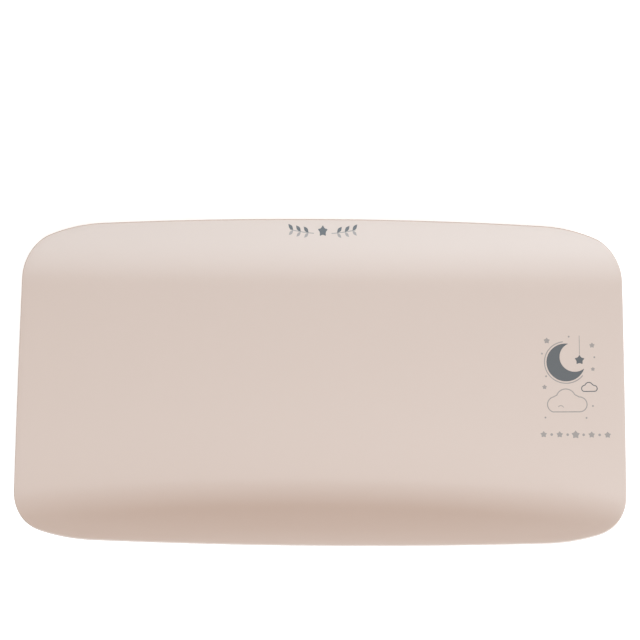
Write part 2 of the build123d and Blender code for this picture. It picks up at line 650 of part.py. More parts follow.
def make_cell_holder(place, inward):
    """The plastic frame that keeps a load cell down on its pads, with two ears and a notch for the lead."""
    ears = [(place[0], place[1] + side * HOLDER_EAR_Y) for side in (-1, 1)]
    notch_place = (place[0] + inward * HOLDER_SIDE / 2, place[1])
    with BuildPart() as holder:
        with BuildSketch(Plane.XY.offset(BASE_FLOOR_Z)):
            with Locations(place):
                RectangleRounded(HOLDER_SIDE, HOLDER_SIDE, 4)
        extrude(amount=HOLDER_TOP_Z - BASE_FLOOR_Z)
        upright(*HOLDER_EAR_Z, ears, HOLDER_EAR_RADIUS)
        for ear in ears:
            neck = (ear[0], (ear[1] + place[1] + HOLDER_SIDE / 2 * (1 if ear[1] > place[1] else -1)) / 2)
            upright_box(*HOLDER_EAR_Z, neck, (2 * HOLDER_EAR_RADIUS, HOLDER_EAR_Y - HOLDER_SIDE / 2))
        with BuildSketch(Plane.XY.offset(BASE_FLOOR_Z)):
            with Locations(place):
                RectangleRounded(CELL_SIDE + 0.6, CELL_SIDE + 0.6, 3.3)
        extrude(amount=CELL_TOP_Z + 0.1 - BASE_FLOOR_Z, mode=Mode.SUBTRACT)
        window = (CELL_WINDOW + 1, CELL_WINDOW + 1)
        upright_box(BASE_FLOOR_Z, HOLDER_TOP_Z, place, window, Mode.SUBTRACT)
        upright_box(BASE_FLOOR_Z, HOLDER_TOP_Z, notch_place, (20, 4), Mode.SUBTRACT)
        upright(*HOLDER_EAR_Z, ears, HOLDER_SCREW_RADIUS + 0.25, Mode.SUBTRACT)
        upright(BASE_FLOOR_Z, HOLDER_EAR_Z[0], ears, HOLDER_EAR_RADIUS - 0.2, Mode.SUBTRACT)
    return holder


def make_holder_screws():
    """The eight screws that hold the load cells' frames down."""
    with BuildPart() as screws:
        upright(HOLDER_EAR_Z[0] - 3, HOLDER_EAR_Z[1], EAR_PLACES, HOLDER_SCREW_RADIUS)
        upright(HOLDER_EAR_Z[1], HOLDER_EAR_Z[1] + 1.6, EAR_PLACES, 2 * HOLDER_SCREW_RADIUS)
    return screws


for corner, place in CORNERS.items():
    inward = -1 if place[0] > 0 else 1
    write(make_foot(place), f"{corner}_foot")
    write(make_foot_pad(place), f"{corner}_foot_pad")
    write(make_load_button(place), f"{corner}_load_button")
    write(make_load_cell(place, inward), f"{corner}_load_cell")
    write(make_cell_holder(place, inward), f"{corner}_cell_holder")
write(make_strain_gauges(), "strain_gauges")
write(make_holder_screws(), "holder_screws")


# ==== Batteries ==============================================================================


def cell_plane(index, along):
    """A plane square to a battery cell's axis, a distance along it from the cell's flat end to its nub."""
    way = 1 if index % 2 == 0 else -1
    x = (index - (CELL_COUNT - 1) / 2) * CELL_PITCH
    return Plane(origin=(x, POCKET_MIDDLE_Y + way * along, CELL_AXIS_Z), x_dir=(1, 0, 0), z_dir=(0, way, 0))


def make_cell(index):
    """One battery cell; every second one points the other way."""
    start = -20.0
    with BuildPart() as cell:
        with BuildSketch(cell_plane(index, start)):
            Circle(AAA_RADIUS)
        extrude(amount=AAA_LENGTH)
        fillet(cell.edges(), 0.5)
        with BuildSketch(cell_plane(index, start + AAA_LENGTH)):
            Circle(AAA_NUB[0])
        extrude(amount=AAA_NUB[1])
    return cell


def make_contacts(springs):
    """One contact for each cell: a spring as a tapered sleeve at its flat end, or a dimple at its nub."""
    wall = (POCKET_Y[1] - POCKET_Y[0]) / 2
    with BuildPart() as contacts:
        for index in range(CELL_COUNT):
            start = cell_plane(index, -wall) if springs else cell_plane(index, wall - CONTACT_THICKNESS)
            with BuildSketch(start):
                RectangleRounded(CONTACT_SIDE, CONTACT_SIDE, 1)
            extrude(amount=CONTACT_THICKNESS)
            if springs:
                with BuildSketch(cell_plane(index, CONTACT_THICKNESS - wall)):
                    Circle(4.2)
                    Circle(3.4, mode=Mode.SUBTRACT)
                extrude(amount=SPRING_LENGTH, taper=8)
            else:
                with BuildSketch(cell_plane(index, wall - CONTACT_THICKNESS)):
                    Circle(2.2)
                extrude(amount=-1.0, taper=20)
    return contacts


def make_door():
    """The battery door: a plate with a round hinge edge, two tabs, a latch tongue and grip grooves."""
    low = BASE_BOTTOM_Z
    high = BASE_BOTTOM_Z + DOOR_THICKNESS
    near, far = DOOR_Y
    plate_middle = (0, (DOOR_HINGE_Y + far) / 2)
    grip_places = [(0, near + 14 + 3 * step) for step in range(5)]
    with BuildPart() as door:
        upright_box(low, high, plate_middle, (2 * DOOR_HALF_X, far - DOOR_HINGE_Y))
        fillet(door.edges().filter_by(Axis.Z).group_by(Axis.Y)[-1], 2.5)
        with BuildSketch(Plane(origin=(0, DOOR_HINGE_Y, DOOR_HINGE_Z), z_dir=(1, 0, 0))):
            Circle(DOOR_THICKNESS / 2)
        extrude(amount=DOOR_HALF_X, both=True)
        for x in DOOR_TAB_X:
            upright_box(low + DOOR_LIP + 0.25, high, (x, DOOR_HINGE_Y - DOOR_TAB_SIZE[1] / 2), DOOR_TAB_SIZE)
        upright_box(low, high, (0, far + LATCH_SIZE[1] / 2 - 0.1), (LATCH_SIZE[0], LATCH_SIZE[1] + 0.2))
        # two slits free the latch tongue, which a finger pulls at its recess
        for x in (-LATCH_SIZE[0] / 2 - 1, LATCH_SIZE[0] / 2 + 1):
            upright_box(low, high, (x, far - 5), LATCH_SLIT, Mode.SUBTRACT)
        with BuildSketch(Plane.XY.offset(low)):
            with Locations((0, far - 4.5)):
                RectangleRounded(10, 4, 1.9)
        extrude(amount=1.0, mode=Mode.SUBTRACT)
        with BuildSketch(Plane.XY.offset(low)):
            with Locations(*grip_places):
                SlotOverall(26, 1.2)
        extrude(amount=0.6, mode=Mode.SUBTRACT)
    return door


for index in range(CELL_COUNT):
    write(make_cell(index), f"battery_cell_{index + 1}")
write(make_contacts(springs=True), "battery_springs")
write(make_contacts(springs=False), "battery_contacts")
write(make_door(), "battery_door")


# ==== Cover screws and leads =================================================================


def make_cover_screws():
    """The eight screws that hold the base to the tray, with crossed recesses in their heads."""
    radius, height = COVER_SCREW_HEAD
    head_z = SCREW_SEAT_Z - height
    with BuildPart() as screws:
        upright(head_z, SCREW_SEAT_Z, COVER_SCREW_PLACES, radius)
        upright(SCREW_SEAT_Z, COVER_SCREW_TIP_Z, COVER_SCREW_PLACES, SCREW_RADIUS)
        for place in COVER_SCREW_PLACES:
            upright_box(head_z, head_z + 1.2, place, (3.2, 0.8), Mode.SUBTRACT)
            upright_box(head_z, head_z + 1.2, place, (0.8, 3.2), Mode.SUBTRACT)
    return screws


def make_lead(points, radius):
    """A lead along straight runs joined by arcs, each as large as its two runs allow."""
    route = [Vector(*point) for point in points]
    bends = []
    for before, corner, after in zip(route, route[1:], route[2:]):
        turn = (corner - before).get_angle(after - corner)
        run = min((corner - before).length, (after - corner).length)
        bends.append(0.45 * run / tan(radians(turn / 2)))
    with BuildPart() as lead:
        with BuildLine() as path:
            FilletPolyline(*route, radius=bends)
        with BuildSketch(Plane(origin=path.line @ 0, z_dir=path.line % 0)):
            Circle(radius)
        sweep()
    length = sum(edge.length for edge in path.edges())
    print(f"lead: length {length:.1f} mm, smallest radius {min(bends):.1f} mm")
    print(f"      volume {lead.part.volume:.1f}, section times length {pi * radius**2 * length:.1f}")
    return lead


def plug_mouth(x):
    """Where a lead leaves its plug, and a point straight behind that."""
    mouth = face_plane(PLUG_BACK).from_local_coords((x, PLUG_LIFT, 0))
    behind = face_plane(PLUG_BACK + 9).from_local_coords((x, PLUG_LIFT, 0))
    return mouth, behind


def cell_lead_route(place, inward):
    """From a load cell's gauge out through its holder, down to the floor and across to the board."""
    x, y = place
    gauge_z = CELL_TOP_Z + 1.2
    route = [
        (x + inward * GAUGE_SIZE[0] / 2, y, gauge_z),
        (x + inward * 24, y, gauge_z),
        (x + inward * 38, y + 1, LEAD_FLOOR_Z),
    ]
    if y < 0:
        route += [(-inward * 110, y - 6, LEAD_FLOOR_Z), (-inward * 84, y - 13, LEAD_FLOOR_Z + 1)]
        mouth, behind = plug_mouth(-inward * LEAD_PLUG_X[-1])
    else:
        route += [
            (-inward * 118, 48, LEAD_FLOOR_Z),
            (-inward * 96, 8, LEAD_FLOOR_Z),
            (-inward * 76, -40, LEAD_FLOOR_Z),
            (-inward * 52, -82, LEAD_FLOOR_Z + 1),
        ]
        mouth, behind = plug_mouth(-inward * LEAD_PLUG_X[-2])
    return route + [behind, mouth]


def battery_lead_route(x):
    """From the front of the battery compartment down to the floor and forward to the board."""
    start_y = DOOR_Y[0] - DOOR_FRAME
    mouth, behind = plug_mouth(x)
    return [
        (x, start_y, BATTERY_LEAD_Z),
        (x, start_y - 11.5, BATTERY_LEAD_Z),
        (x * 1.4, -30, LEAD_FLOOR_Z),
        (x * 1.2, -82, LEAD_FLOOR_Z + 1),
        behind,
        mouth,
    ]


write(make_cover_screws(), "cover_screws")
for corner, place in CORNERS.items():
    inward = -1 if place[0] > 0 else 1
    write(make_lead(cell_lead_route(place, inward), SENSOR_LEAD_RADIUS), f"{corner}_lead")
for name, x in BATTERY_LEADS.items():
    write(make_lead(battery_lead_route(x), BATTERY_LEAD_RADIUS), f"battery_lead_{name}")
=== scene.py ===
"""Looks of a digital baby weighing scale.

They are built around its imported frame, in metres and in the frame's axes.
"""

from math import asin, atan, atan2, cos, degrees, hypot, pi, radians, sin, sqrt

import bmesh
import bpy
from bpy.props import FloatProperty, FloatVectorProperty, PointerProperty
from mathutils import Matrix, Quaternion, Vector


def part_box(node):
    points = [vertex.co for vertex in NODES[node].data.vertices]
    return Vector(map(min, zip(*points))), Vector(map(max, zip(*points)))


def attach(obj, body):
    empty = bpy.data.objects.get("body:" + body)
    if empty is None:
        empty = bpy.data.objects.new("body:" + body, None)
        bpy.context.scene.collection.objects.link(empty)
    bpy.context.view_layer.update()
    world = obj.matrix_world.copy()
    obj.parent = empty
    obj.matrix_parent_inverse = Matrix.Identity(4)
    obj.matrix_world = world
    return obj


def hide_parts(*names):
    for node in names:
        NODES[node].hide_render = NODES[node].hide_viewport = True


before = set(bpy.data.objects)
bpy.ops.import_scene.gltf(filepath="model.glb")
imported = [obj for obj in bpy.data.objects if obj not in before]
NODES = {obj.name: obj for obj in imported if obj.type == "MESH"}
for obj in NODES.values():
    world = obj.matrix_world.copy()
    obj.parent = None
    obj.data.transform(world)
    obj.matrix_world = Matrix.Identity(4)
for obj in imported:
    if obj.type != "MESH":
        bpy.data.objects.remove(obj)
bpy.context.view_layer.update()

bl_info = {
    "name": "Baby weighing scale",
    "version": (1, 0, 0),
    "blender": (4, 5, 0),
    "location": "View3D > Sidebar > Weighing Scale",
    "description": "Builds the finish, prints and small parts of a digital baby weighing scale",
    "category": "Object",
}

MM = 0.001
SCALE_BODY = "scale_body"
KEYS = ("power", "unit", "hold", "tare")
CORNERS = ("front_left", "front_right", "rear_left", "rear_right")
SIDES = (-1, 1)


# ==== Properties =============================================================================


def length(name, description, millimetres):
    """A length that the panel shows, with its default in millimetres."""
    settings = {"default": millimetres * MM, "unit": "LENGTH", "precision": 4}
    return FloatProperty(name=name, description=description, **settings)


def angle(name, description, in_degrees):
    """An angle that the panel shows, with its default in degrees."""
    return FloatProperty(name=name, description=description, default=radians(in_degrees), subtype="ANGLE")


def power(name, description, watts):
    """A light's power that the panel shows, with its default in watts."""
    return FloatProperty(name=name, description=description, default=watts, unit="POWER")


def amount(name, description, default):
    """A plain number that the panel shows."""
    return FloatProperty(name=name, description=description, default=default)


def colour(name, description, default):
    """A colour that the panel shows."""
    settings = {"default": default, "subtype": "COLOR", "min": 0, "max": 1}
    return FloatVectorProperty(name=name, description=description, **settings)


class TrayShape(bpy.types.PropertyGroup):
    """Sizes of the weighing tray: its outline, the rule of its walls and its turned-down edge."""

    tray_length: length("Length", "Length of the tray from end to end", 550)
    tray_width: length("Width", "Width of the tray from front to rear", 300)
    floor_height: length("Floor height", "Height of the flat floor's upper face", 43)
    side_radius: length("Side radius", "Radius of the two ends, which are nearly straight", 18830)
    shoulder_radius: length("Shoulder radius", "Radius of the soft shoulders beside the corners", 165)
    rear_fold: length("Rear fold", "Where the floor starts to rise to the rear", 96)
    rear_radius: length("Rear bend radius", "Radius of the bend under the rear wall", 59)
    rear_slope: angle("Rear slope", "Slope of the rear wall above its bend", 34)
    rear_flare: length("Rear flare radius", "Radius at which the rear wall eases off above its bend", 5000)
    front_fold: length("Front fold", "How far in front of the middle the floor starts to rise", 84)
    front_radius: length("Front bend radius", "Radius of the bend under the front wall", 50)
    front_slope: angle("Front slope", "Slope of the front wall above its bend", 34.5)
    front_flare: length("Front flare radius", "Radius at which the front wall eases off above its bend", 250)
    front_bow: length("Front bow", "Radius of the front fold in plan", 2500)
    edge_round: length("Edge rounding", "Radius along the rim", 1.0)
    skin: length("Skin", "Thickness of the moulded skin", 2.6)
    skirt: length("Skirt", "How far the edge is turned down", 9)
    skirt_lean: length("Skirt lean", "How far the turned-down edge leans in at its foot", 1.5)
    rib_depth: length("Rib depth", "Height of the ribs under the tray", 5)
    rib_thickness: length("Rib thickness", "Thickness of the ribs under the tray", 1.6)


class Finishes(bpy.types.PropertyGroup):
    """Colours of the main finishes."""

    tray: colour("Tray", "Satin plastic of the weighing tray", (0.668, 0.582, 0.529))
    housing: colour("Housing", "Textured plastic of the base and the battery door", (0.66, 0.60, 0.56))
    fascia: colour("Fascia", "Polished plastic of the console's front", (0.80, 0.79, 0.77))
    buttons: colour("Buttons", "Soft plastic of the four buttons", (0.20, 0.215, 0.225))
    dark_ink: colour("Dark ink", "Dark print on the tray", (0.110, 0.122, 0.130))
    light_ink: colour("Light ink", "Light print on the tray", (0.345, 0.325, 0.310))
    display: colour("Display", "Background of the display", (0.42, 0.47, 0.43))


class Prints(bpy.types.PropertyGroup):
    """Places and sizes of the prints."""

    film: length("Film", "Thickness of a printed film", 0.06)
    line: length("Line", "Width of a printed line", 0.9)
    night_x: length("Night print, right", "How far right of the middle the night print is", 225)
    night_y: length("Night print, rear", "How far behind the middle the night print is", 10)
    stars_x: length("Row of stars, right", "How far right of the middle the row of stars is", 230)
    stars_y: length("Row of stars, rear", "How far behind the middle the row of stars is", -43.5)
    sprig_x: length("Sprig, right", "How far right of the middle the sprig on the rear wall is", 0.6)
    sprig_y: length("Sprig, rear", "How far behind the middle the sprig on the rear wall is", 139.5)
    digit_height: length("Digit height", "Height of the display's digits", 14)


class Studio(bpy.types.PropertyGroup):
    """Camera and lights."""

    distance: length("Distance", "From the tray's middle to the camera", 2134.3)
    elevation: angle("Elevation", "Height of the camera above the horizon", 78.624)
    azimuth: angle("Azimuth", "How far the camera stands to the right of straight ahead", 2.139)
    roll: angle("Roll", "Turn of the camera about its own axis", -1.533)
    aim_x: length("Aim, right", "Point that the camera looks at, to the right", -1.32)
    aim_y: length("Aim, rear", "Point that the camera looks at, to the rear", 60.74)
    lens: amount("Lens", "Focal length for a sensor of 36 mm, in millimetres", 132.49)
    key_power: power("Key light", "Power of the large light in front", 62.9)
    top_power: power("Top light", "Power of the light overhead", 20.2)
    rear_power: power("Rear light", "Power of the low light behind", 12.0)
    sky: amount("Surround", "Strength of the light from all round", 0.71)


# ==== Tray: its rule and its outline ==========================================================

# Bearings in degrees at which the tray's edge passes from one arc to the next, from the middle of its
# right end over a tight corner and a soft shoulder to the middle of its rear edge.
EDGE_BEARINGS = (0.0, 0.3, 70.6, 87.5, 90.0)


def wall_rise(run, radius, slope, flare):
    """How far a wall has risen at a distance outside its fold: up its bend, then along its easing flare."""
    bend = radius * sin(slope)
    along = min(max(run, 0), bend)
    beyond = flare * sin(slope) - max(run - bend, 0)
    return radius - sqrt(radius**2 - along**2) + sqrt(flare**2 - beyond**2) - flare * cos(slope)


def tray_height(tray, x, y):
    """Height of the tray's upper face at a point of its plan."""
    front_run = tray.front_bow - hypot(x, y + tray.front_fold + tray.front_bow)
    rear = wall_rise(y - tray.rear_fold, tray.rear_radius, tray.rear_slope, tray.rear_flare)
    front = wall_rise(front_run, tray.front_radius, tray.front_slope, tray.front_flare)
    return tray.floor_height + rear + front


def tray_outline(tray, spacing):
    """Points along the tray's edge with the outward direction at each, anticlockwise from the right.

    The radii of the corners and of the long edges follow from the other two and from the tray's size.
    """
    angles = [radians(bearing) for bearing in EDGE_BEARINGS]
    along = [cos(a) - cos(b) for a, b in zip(angles, angles[1:])]
    across = [sin(b) - sin(a) for a, b in zip(angles, angles[1:])]
    left_x = tray.tray_length / 2 - tray.side_radius * along[0] - tray.shoulder_radius * along[2]
    left_y = tray.tray_width / 2 - tray.side_radius * across[0] - tray.shoulder_radius * across[2]
    scale = along[1] * across[3] - along[3] * across[1]
    corner = (left_x * across[3] - left_y * along[3]) / scale
    long_edge = (left_y * along[1] - left_x * across[1]) / scale
    radii = (tray.side_radius, corner, tray.shoulder_radius, long_edge)
    quarter = []
    x, y = tray.tray_length / 2, 0.0
    for radius, start, end in zip(radii, angles, angles[1:]):
        steps = max(2, round(radius * (end - start) / spacing))
        for step in range(steps):
            turn = start + (end - start) * step / steps
            point_x = x - radius * (cos(start) - cos(turn))
            point_y = y + radius * (sin(turn) - sin(start))
            quarter.append((point_x, point_y, turn))
        x -= radius * (cos(start) - cos(end))
        y += radius * (sin(end) - sin(start))
    top = (0.0, tray.tray_width / 2, pi / 2)
    half = quarter + [top] + [(-px, py, pi - turn) for px, py, turn in quarter[:0:-1]]
    whole = half + [(-px, -py, turn + pi) for px, py, turn in half]
    return [(Vector((px, py)), Vector((cos(turn), sin(turn)))) for px, py, turn in whole]


def edge_reach(outline, across, axis):
    """How far the tray's edge is from its middle along one axis, at a place on the other."""
    other = 1 - axis
    nearest = min(outline, key=lambda point: (abs(point[0][other] - across), -point[0][axis]))
    return abs(nearest[0][axis])


# ==== Node trees ==============================================================================


class Nodes:
    """A node tree in the making, of any kind."""

    def __init__(self, tree):
        self.tree = tree

    def link(self, source, target):
        """Join a socket to another, or set it to a plain value."""
        if isinstance(source, bpy.types.NodeSocket):
            self.tree.links.new(source, target)
        else:
            target.default_value = source

    def node(self, kind, sockets=None, **settings):
        """A node with its settings and the sources of its input sockets, by name or number."""
        made = self.tree.nodes.new(kind)
        for key, value in settings.items():
            setattr(made, key, value)
        for key, value in (sockets or {}).items():
            self.link(value, made.inputs[key])
        return made

    def result(self, kind, sockets=None, **settings):
        """The first output of a new node."""
        return self.node(kind, sockets, **settings).outputs[0]

    def math(self, operation, first, second=0.0):
        """The result of a sum on two numbers or sockets."""
        return self.result("ShaderNodeMath", {0: first, 1: second}, operation=operation)


class ShapeTree(Nodes):
    """A Geometry Nodes tree in the making, with named inputs for its sizes and its finish."""

    def __init__(self, name, sizes):
        super().__init__(bpy.data.node_groups.new(name, "GeometryNodeTree"))
        face = self.tree.interface
        for way in ("OUTPUT", "INPUT"):
            face.new_socket("Geometry", in_out=way, socket_type="NodeSocketGeometry")
        for label in sizes:
            face.new_socket(label, in_out="INPUT", socket_type="NodeSocketFloat")
        face.new_socket("Finish", in_out="INPUT", socket_type="NodeSocketMaterial")
        self.inputs = self.node("NodeGroupInput").outputs

    def finish(self, geometry):
        """Realize the instances, set the finish and end the tree."""
        real = self.result("GeometryNodeRealizeInstances", {0: geometry})
        done = self.result("GeometryNodeSetMaterial", {"Geometry": real, "Material": self.inputs["Finish"]})
        self.node("NodeGroupOutput", {0: done})
        return self.tree


def new_object(name, data):
    """A new object in the scene."""
    made = bpy.data.objects.new(name, data)
    bpy.context.scene.collection.objects.link(made)
    return made


def evaluated_mesh(piece):
    """The mesh that an object gives once its modifiers or its letters are worked out."""
    bpy.context.view_layer.update()
    evaluated = piece.evaluated_get(bpy.context.evaluated_depsgraph_get())
    return bpy.data.meshes.new_from_object(evaluated)


def grow(name, blank, tree, values, finish):
    """Run a tree on a blank mesh with these inputs, and give the result as a plain mesh object."""
    piece = new_object(name, blank)
    modifier = piece.modifiers.new(name, "NODES")
    modifier.node_group = tree
    sockets = {item.name: item.identifier for item in tree.interface.items_tree if item.in_out == "INPUT"}
    for label, value in {**values, "Finish": finish}.items():
        modifier[sockets[label]] = value
    mesh = evaluated_mesh(piece)
    piece.modifiers.remove(modifier)
    piece.data = mesh
    mesh.name = name
    return piece


def wall_rise_group():
    """The rule of a wall, as in wall_rise, as a group of nodes."""
    rise = Nodes(bpy.data.node_groups.new("wall rise", "GeometryNodeTree"))
    face, math = rise.tree.interface, rise.math
    labels = ("Run", "Radius", "Slope", "Flare")
    for label in labels:
        face.new_socket(label, in_out="INPUT", socket_type="NodeSocketFloat")
    face.new_socket("Height", in_out="OUTPUT", socket_type="NodeSocketFloat")
    start = rise.node("NodeGroupInput")
    run, radius, slope, flare = (start.outputs[label] for label in labels)

    def leg(longest, other):
        squares = math("SUBTRACT", math("POWER", longest, 2.0), math("POWER", other, 2.0))
        return math("SQRT", squares)

    bend = math("MULTIPLY", radius, math("SINE", slope))
    along = math("MINIMUM", math("MAXIMUM", run, 0.0), bend)
    low_part = math("SUBTRACT", radius, leg(radius, along))
    past_bend = math("MAXIMUM", math("SUBTRACT", run, bend), 0.0)
    beyond = math("SUBTRACT", math("MULTIPLY", flare, math("SINE", slope)), past_bend)
    high_part = math("SUBTRACT", leg(flare, beyond), math("MULTIPLY", flare, math("COSINE", slope)))
    rise.node("NodeGroupOutput", {0: math("ADD", low_part, high_part)})
    return rise.tree


# The tray's sizes that are inputs of every tree that presses things into its shape.
PRESS_SIZES = (
    "floor_height",
    "rear_fold",
    "rear_radius",
    "rear_slope",
    "rear_flare",
    "front_fold",
    "front_radius",
    "front_slope",
    "front_flare",
    "front_bow",
)


def press_values(tray):
    """The inputs of a tree that presses things into the tray's shape."""
    return {size: getattr(tray, size) for size in PRESS_SIZES}


def pressed(tree, geometry, rise_group, depth):
    """Geometry moved up from its blank to the tray's rule, at a depth under the upper face."""
    size, math = tree.inputs, tree.math
    x, y, z = tree.node("ShaderNodeSeparateXYZ", {0: tree.result("GeometryNodeInputPosition")}).outputs
    across = math("ADD", y, math("ADD", size["front_fold"], size["front_bow"]))
    squares = math("ADD", math("POWER", x, 2.0), math("POWER", across, 2.0))
    runs = {
        "front": math("SUBTRACT", size["front_bow"], math("SQRT", squares)),
        "rear": math("SUBTRACT", y, size["rear_fold"]),
    }
    height = math("ADD", z, math("SUBTRACT", size["floor_height"], depth))
    for side, run in runs.items():
        rule = {
            "Run": run,
            "Radius": math("ADD", size[f"{side}_radius"], depth),
            "Slope": size[f"{side}_slope"],
            "Flare": math("SUBTRACT", size[f"{side}_flare"], depth),
        }
        height = math("ADD", height, tree.result("GeometryNodeGroup", rule, node_tree=rise_group))
    target = tree.result("ShaderNodeCombineXYZ", {0: x, 1: y, 2: height})
    return tree.result("GeometryNodeSetPosition", {"Geometry": geometry, "Position": target})


# ==== Meshes ==================================================================================


def plain_mesh(name, points, edges=(), faces=()):
    """A mesh of these points, edges and faces."""
    mesh = bpy.data.meshes.new(name)
    mesh.from_pydata(points, edges, faces)
    return mesh


def worked_mesh(name, work):
    """The mesh that was worked out in a bmesh, which is freed."""
    mesh = bpy.data.meshes.new(name)
    work.to_mesh(mesh)
    work.free()
    return mesh


def declare(piece, body, node=None):
    """Say which body a piece rides on and which node it stands for."""
    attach(piece, body)
    if node is not None:
        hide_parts(node)


def add_piece(name, mesh, body, finish, node=None):
    """Put a finished mesh in the scene as a piece with its finish."""
    mesh.materials.append(finish)
    declare(new_object(name, mesh), body, node)


def loft_mesh(name, rings, downwards=False):
    """A closed mesh through rings of points with the same count, anticlockwise and from its foot up.

    Where the rings start at the top and go downwards, the faces are turned round.
    """
    count = len(rings[0])
    last = len(rings) - 1
    turns = [(i, (i + 1) % count) for i in range(count)]
    points = [tuple(point) for ring in rings for point in ring]
    faces = []
    for low in range(0, last * count, count):
        high = low + count
        faces += [(low + i, low + j, high + j, high + i) for i, j in turns]
    for ring in (rings[0], rings[-1]):
        points.append(tuple(sum((Vector(point) for point in ring), Vector((0, 0, 0))) / count))
    foot_pole, top_pole = len(points) - 2, len(points) - 1
    faces += [(j, i, foot_pole) for i, j in turns]
    faces += [(last * count + i, last * count + j, top_pole) for i, j in turns]
    if downwards:
        faces = [face[::-1] for face in faces]
    return plain_mesh(name, points, faces=faces)


def smooth(mesh, limit=35):
    """Shade a mesh smooth, with sharp edges where its faces turn by more than a limit in degrees."""
    mesh.shade_smooth()
    mesh.set_sharp_from_angle(angle=radians(limit))


def lathe(name, profile, centre, segments):
    """A turned mesh about an upright axis, from its (radius, height) profile."""
    turns = [2 * pi * i / segments for i in range(segments)]
    rings = [
        [(centre.x + radius * cos(turn), centre.y + radius * sin(turn), height) for turn in turns]
        for radius, height in profile
    ]
    return loft_mesh(name, rings)


# ==== Flat prints, in millimetres =============================================================

# How far the underside of a film lies in the surface that it is printed on.
FILM_SINK = 0.02


class Stencil:
    """Flat shapes, gathered before they are laid on a surface as a thin film."""

    def __init__(self):
        self.points = []
        self.faces = []

    def fill(self, outline):
        """A filled shape inside an outline."""
        start = len(self.points)
        self.points += [Vector(point) for point in outline]
        self.faces.append(list(range(start, start + len(outline))))

    def line(self, path, width, closed=False):
        """A line of a width along a path, with mitred corners."""
        path = [Vector(point) for point in path]
        count = len(path)
        start = len(self.points)
        for i, point in enumerate(path):
            before = path[i - 1] if closed or i else point
            after = path[(i + 1) % count] if closed or i + 1 < count else point
            first = (point - before).normalized()
            second = (after - point).normalized()
            tangent = (first + second).normalized()
            side = Vector((-tangent.y, tangent.x))
            edge = second if second.length else first
            mitre = max(0.5, side.dot(Vector((-edge.y, edge.x))))
            self.points += [point + side * width / 2 / mitre, point - side * width / 2 / mitre]
        for i in range(count if closed else count - 1):
            j = (i + 1) % count
            self.faces.append([start + 2 * i, start + 2 * i + 1, start + 2 * j + 1, start + 2 * j])

    def film(self, name, place, thickness):
        """The shapes as a closed film: place turns (x, y, height above the surface) to a point in metres."""
        flat = bmesh.new()
        verts = [flat.verts.new((point.x, point.y, 0)) for point in self.points]
        for face in self.faces:
            flat.faces.new([verts[i] for i in face])
        bmesh.ops.recalc_face_normals(flat, faces=flat.faces)
        for face in flat.faces:
            if face.normal.z < 0:
                face.normal_flip()
        bmesh.ops.triangulate(flat, faces=flat.faces, ngon_method="EAR_CLIP")
        solid = bmesh.ops.extrude_face_region(flat, geom=list(flat.faces))
        lifted = {item for item in solid["geom"] if isinstance(item, bmesh.types.BMVert)}
        for vert in flat.verts:
            height = thickness / MM if vert in lifted else -FILM_SINK
            vert.co = place(vert.co.x, vert.co.y, height)
        bmesh.ops.recalc_face_normals(flat, faces=flat.faces)
        return worked_mesh(name, flat)


def rectangle(left, foot, right, top):
    """The corners of an upright rectangle."""
    return [(left, foot), (right, foot), (right, top), (left, top)]


def arc(centre, radius, start, end, points):
    """Points along an arc between two angles in degrees."""
    turns = [radians(start + (end - start) * i / points) for i in range(points + 1)]
    return [Vector((centre[0] + radius * cos(turn), centre[1] + radius * sin(turn))) for turn in turns]


def circle(centre, radius, points=28):
    """Points round a circle."""
    return arc(centre, radius, 0, 360, points)[:-1]


def star(centre, radius):
    """The outline of a plump star with five softened points."""
    tip, notch = 1.12 * radius, 0.56 * radius
    outline = []
    for i in range(10):
        bearing = pi / 2 + pi * i / 5
        outline.append(Vector(centre) + (notch if i % 2 else tip) * Vector((cos(bearing), sin(bearing))))
    for _ in range(3):
        pairs = zip(outline, outline[1:] + outline[:1])
        outline = [point for a, b in pairs for point in (a.lerp(b, 0.25), a.lerp(b, 0.75))]
    return outline


def crescent(centre, radius, bite_centre, bite_radius):
    """The outline of a moon: a disc with a smaller disc bitten out of it."""
    towards = Vector(bite_centre) - Vector(centre)
    distance = towards.length
    bearing = degrees(atan2(towards.y, towards.x))
    reach = (distance**2 + radius**2 - bite_radius**2) / (2 * distance)
    half_chord = sqrt(radius**2 - reach**2)
    half = degrees(asin(half_chord / radius))
    half = half if reach > 0 else 180 - half
    inner = degrees(atan2(half_chord, reach - distance))
    outside = arc(centre, radius, bearing + half, bearing + 360 - half, 56)
    inside = arc(bite_centre, bite_radius, bearing + 360 - inner, bearing + inner, 40)
    return outside + inside[1:-1]


def cloud(centre, size):
    """The outline of a cloud: three bumps, each by its place, its radius and the angles it spans."""
    bumps = ((-0.62, 0.0, 0.38, 250, 105), (-0.12, 0.30, 0.46, 160, 25), (0.52, 0.02, 0.36, 92, -90))
    outline = []
    for x, y, radius, start, end in bumps:
        middle = (centre[0] + x * size, centre[1] + y * size)
        outline += arc(middle, radius * size, start, end, 18)
    return outline


def leaf(base, tip, width):
    """A pointed leaf between two points."""
    base, tip = Vector(base), Vector(tip)
    along = tip - base
    side = Vector((-along.y, along.x)).normalized() * width
    steps = [i / 10 for i in range(11)]
    left = [base + along * t + side * sin(pi * t) ** 1.2 / 2 for t in steps]
    right = [base + along * t - side * sin(pi * t) ** 1.2 / 2 for t in steps[-2:0:-1]]
    return left + right


# ==== Finishes ================================================================================

# The colour sockets of a Mix node, which share their names with its other sockets.
MIX_FIRST, MIX_SECOND, MIX_RESULT = 6, 7, 2


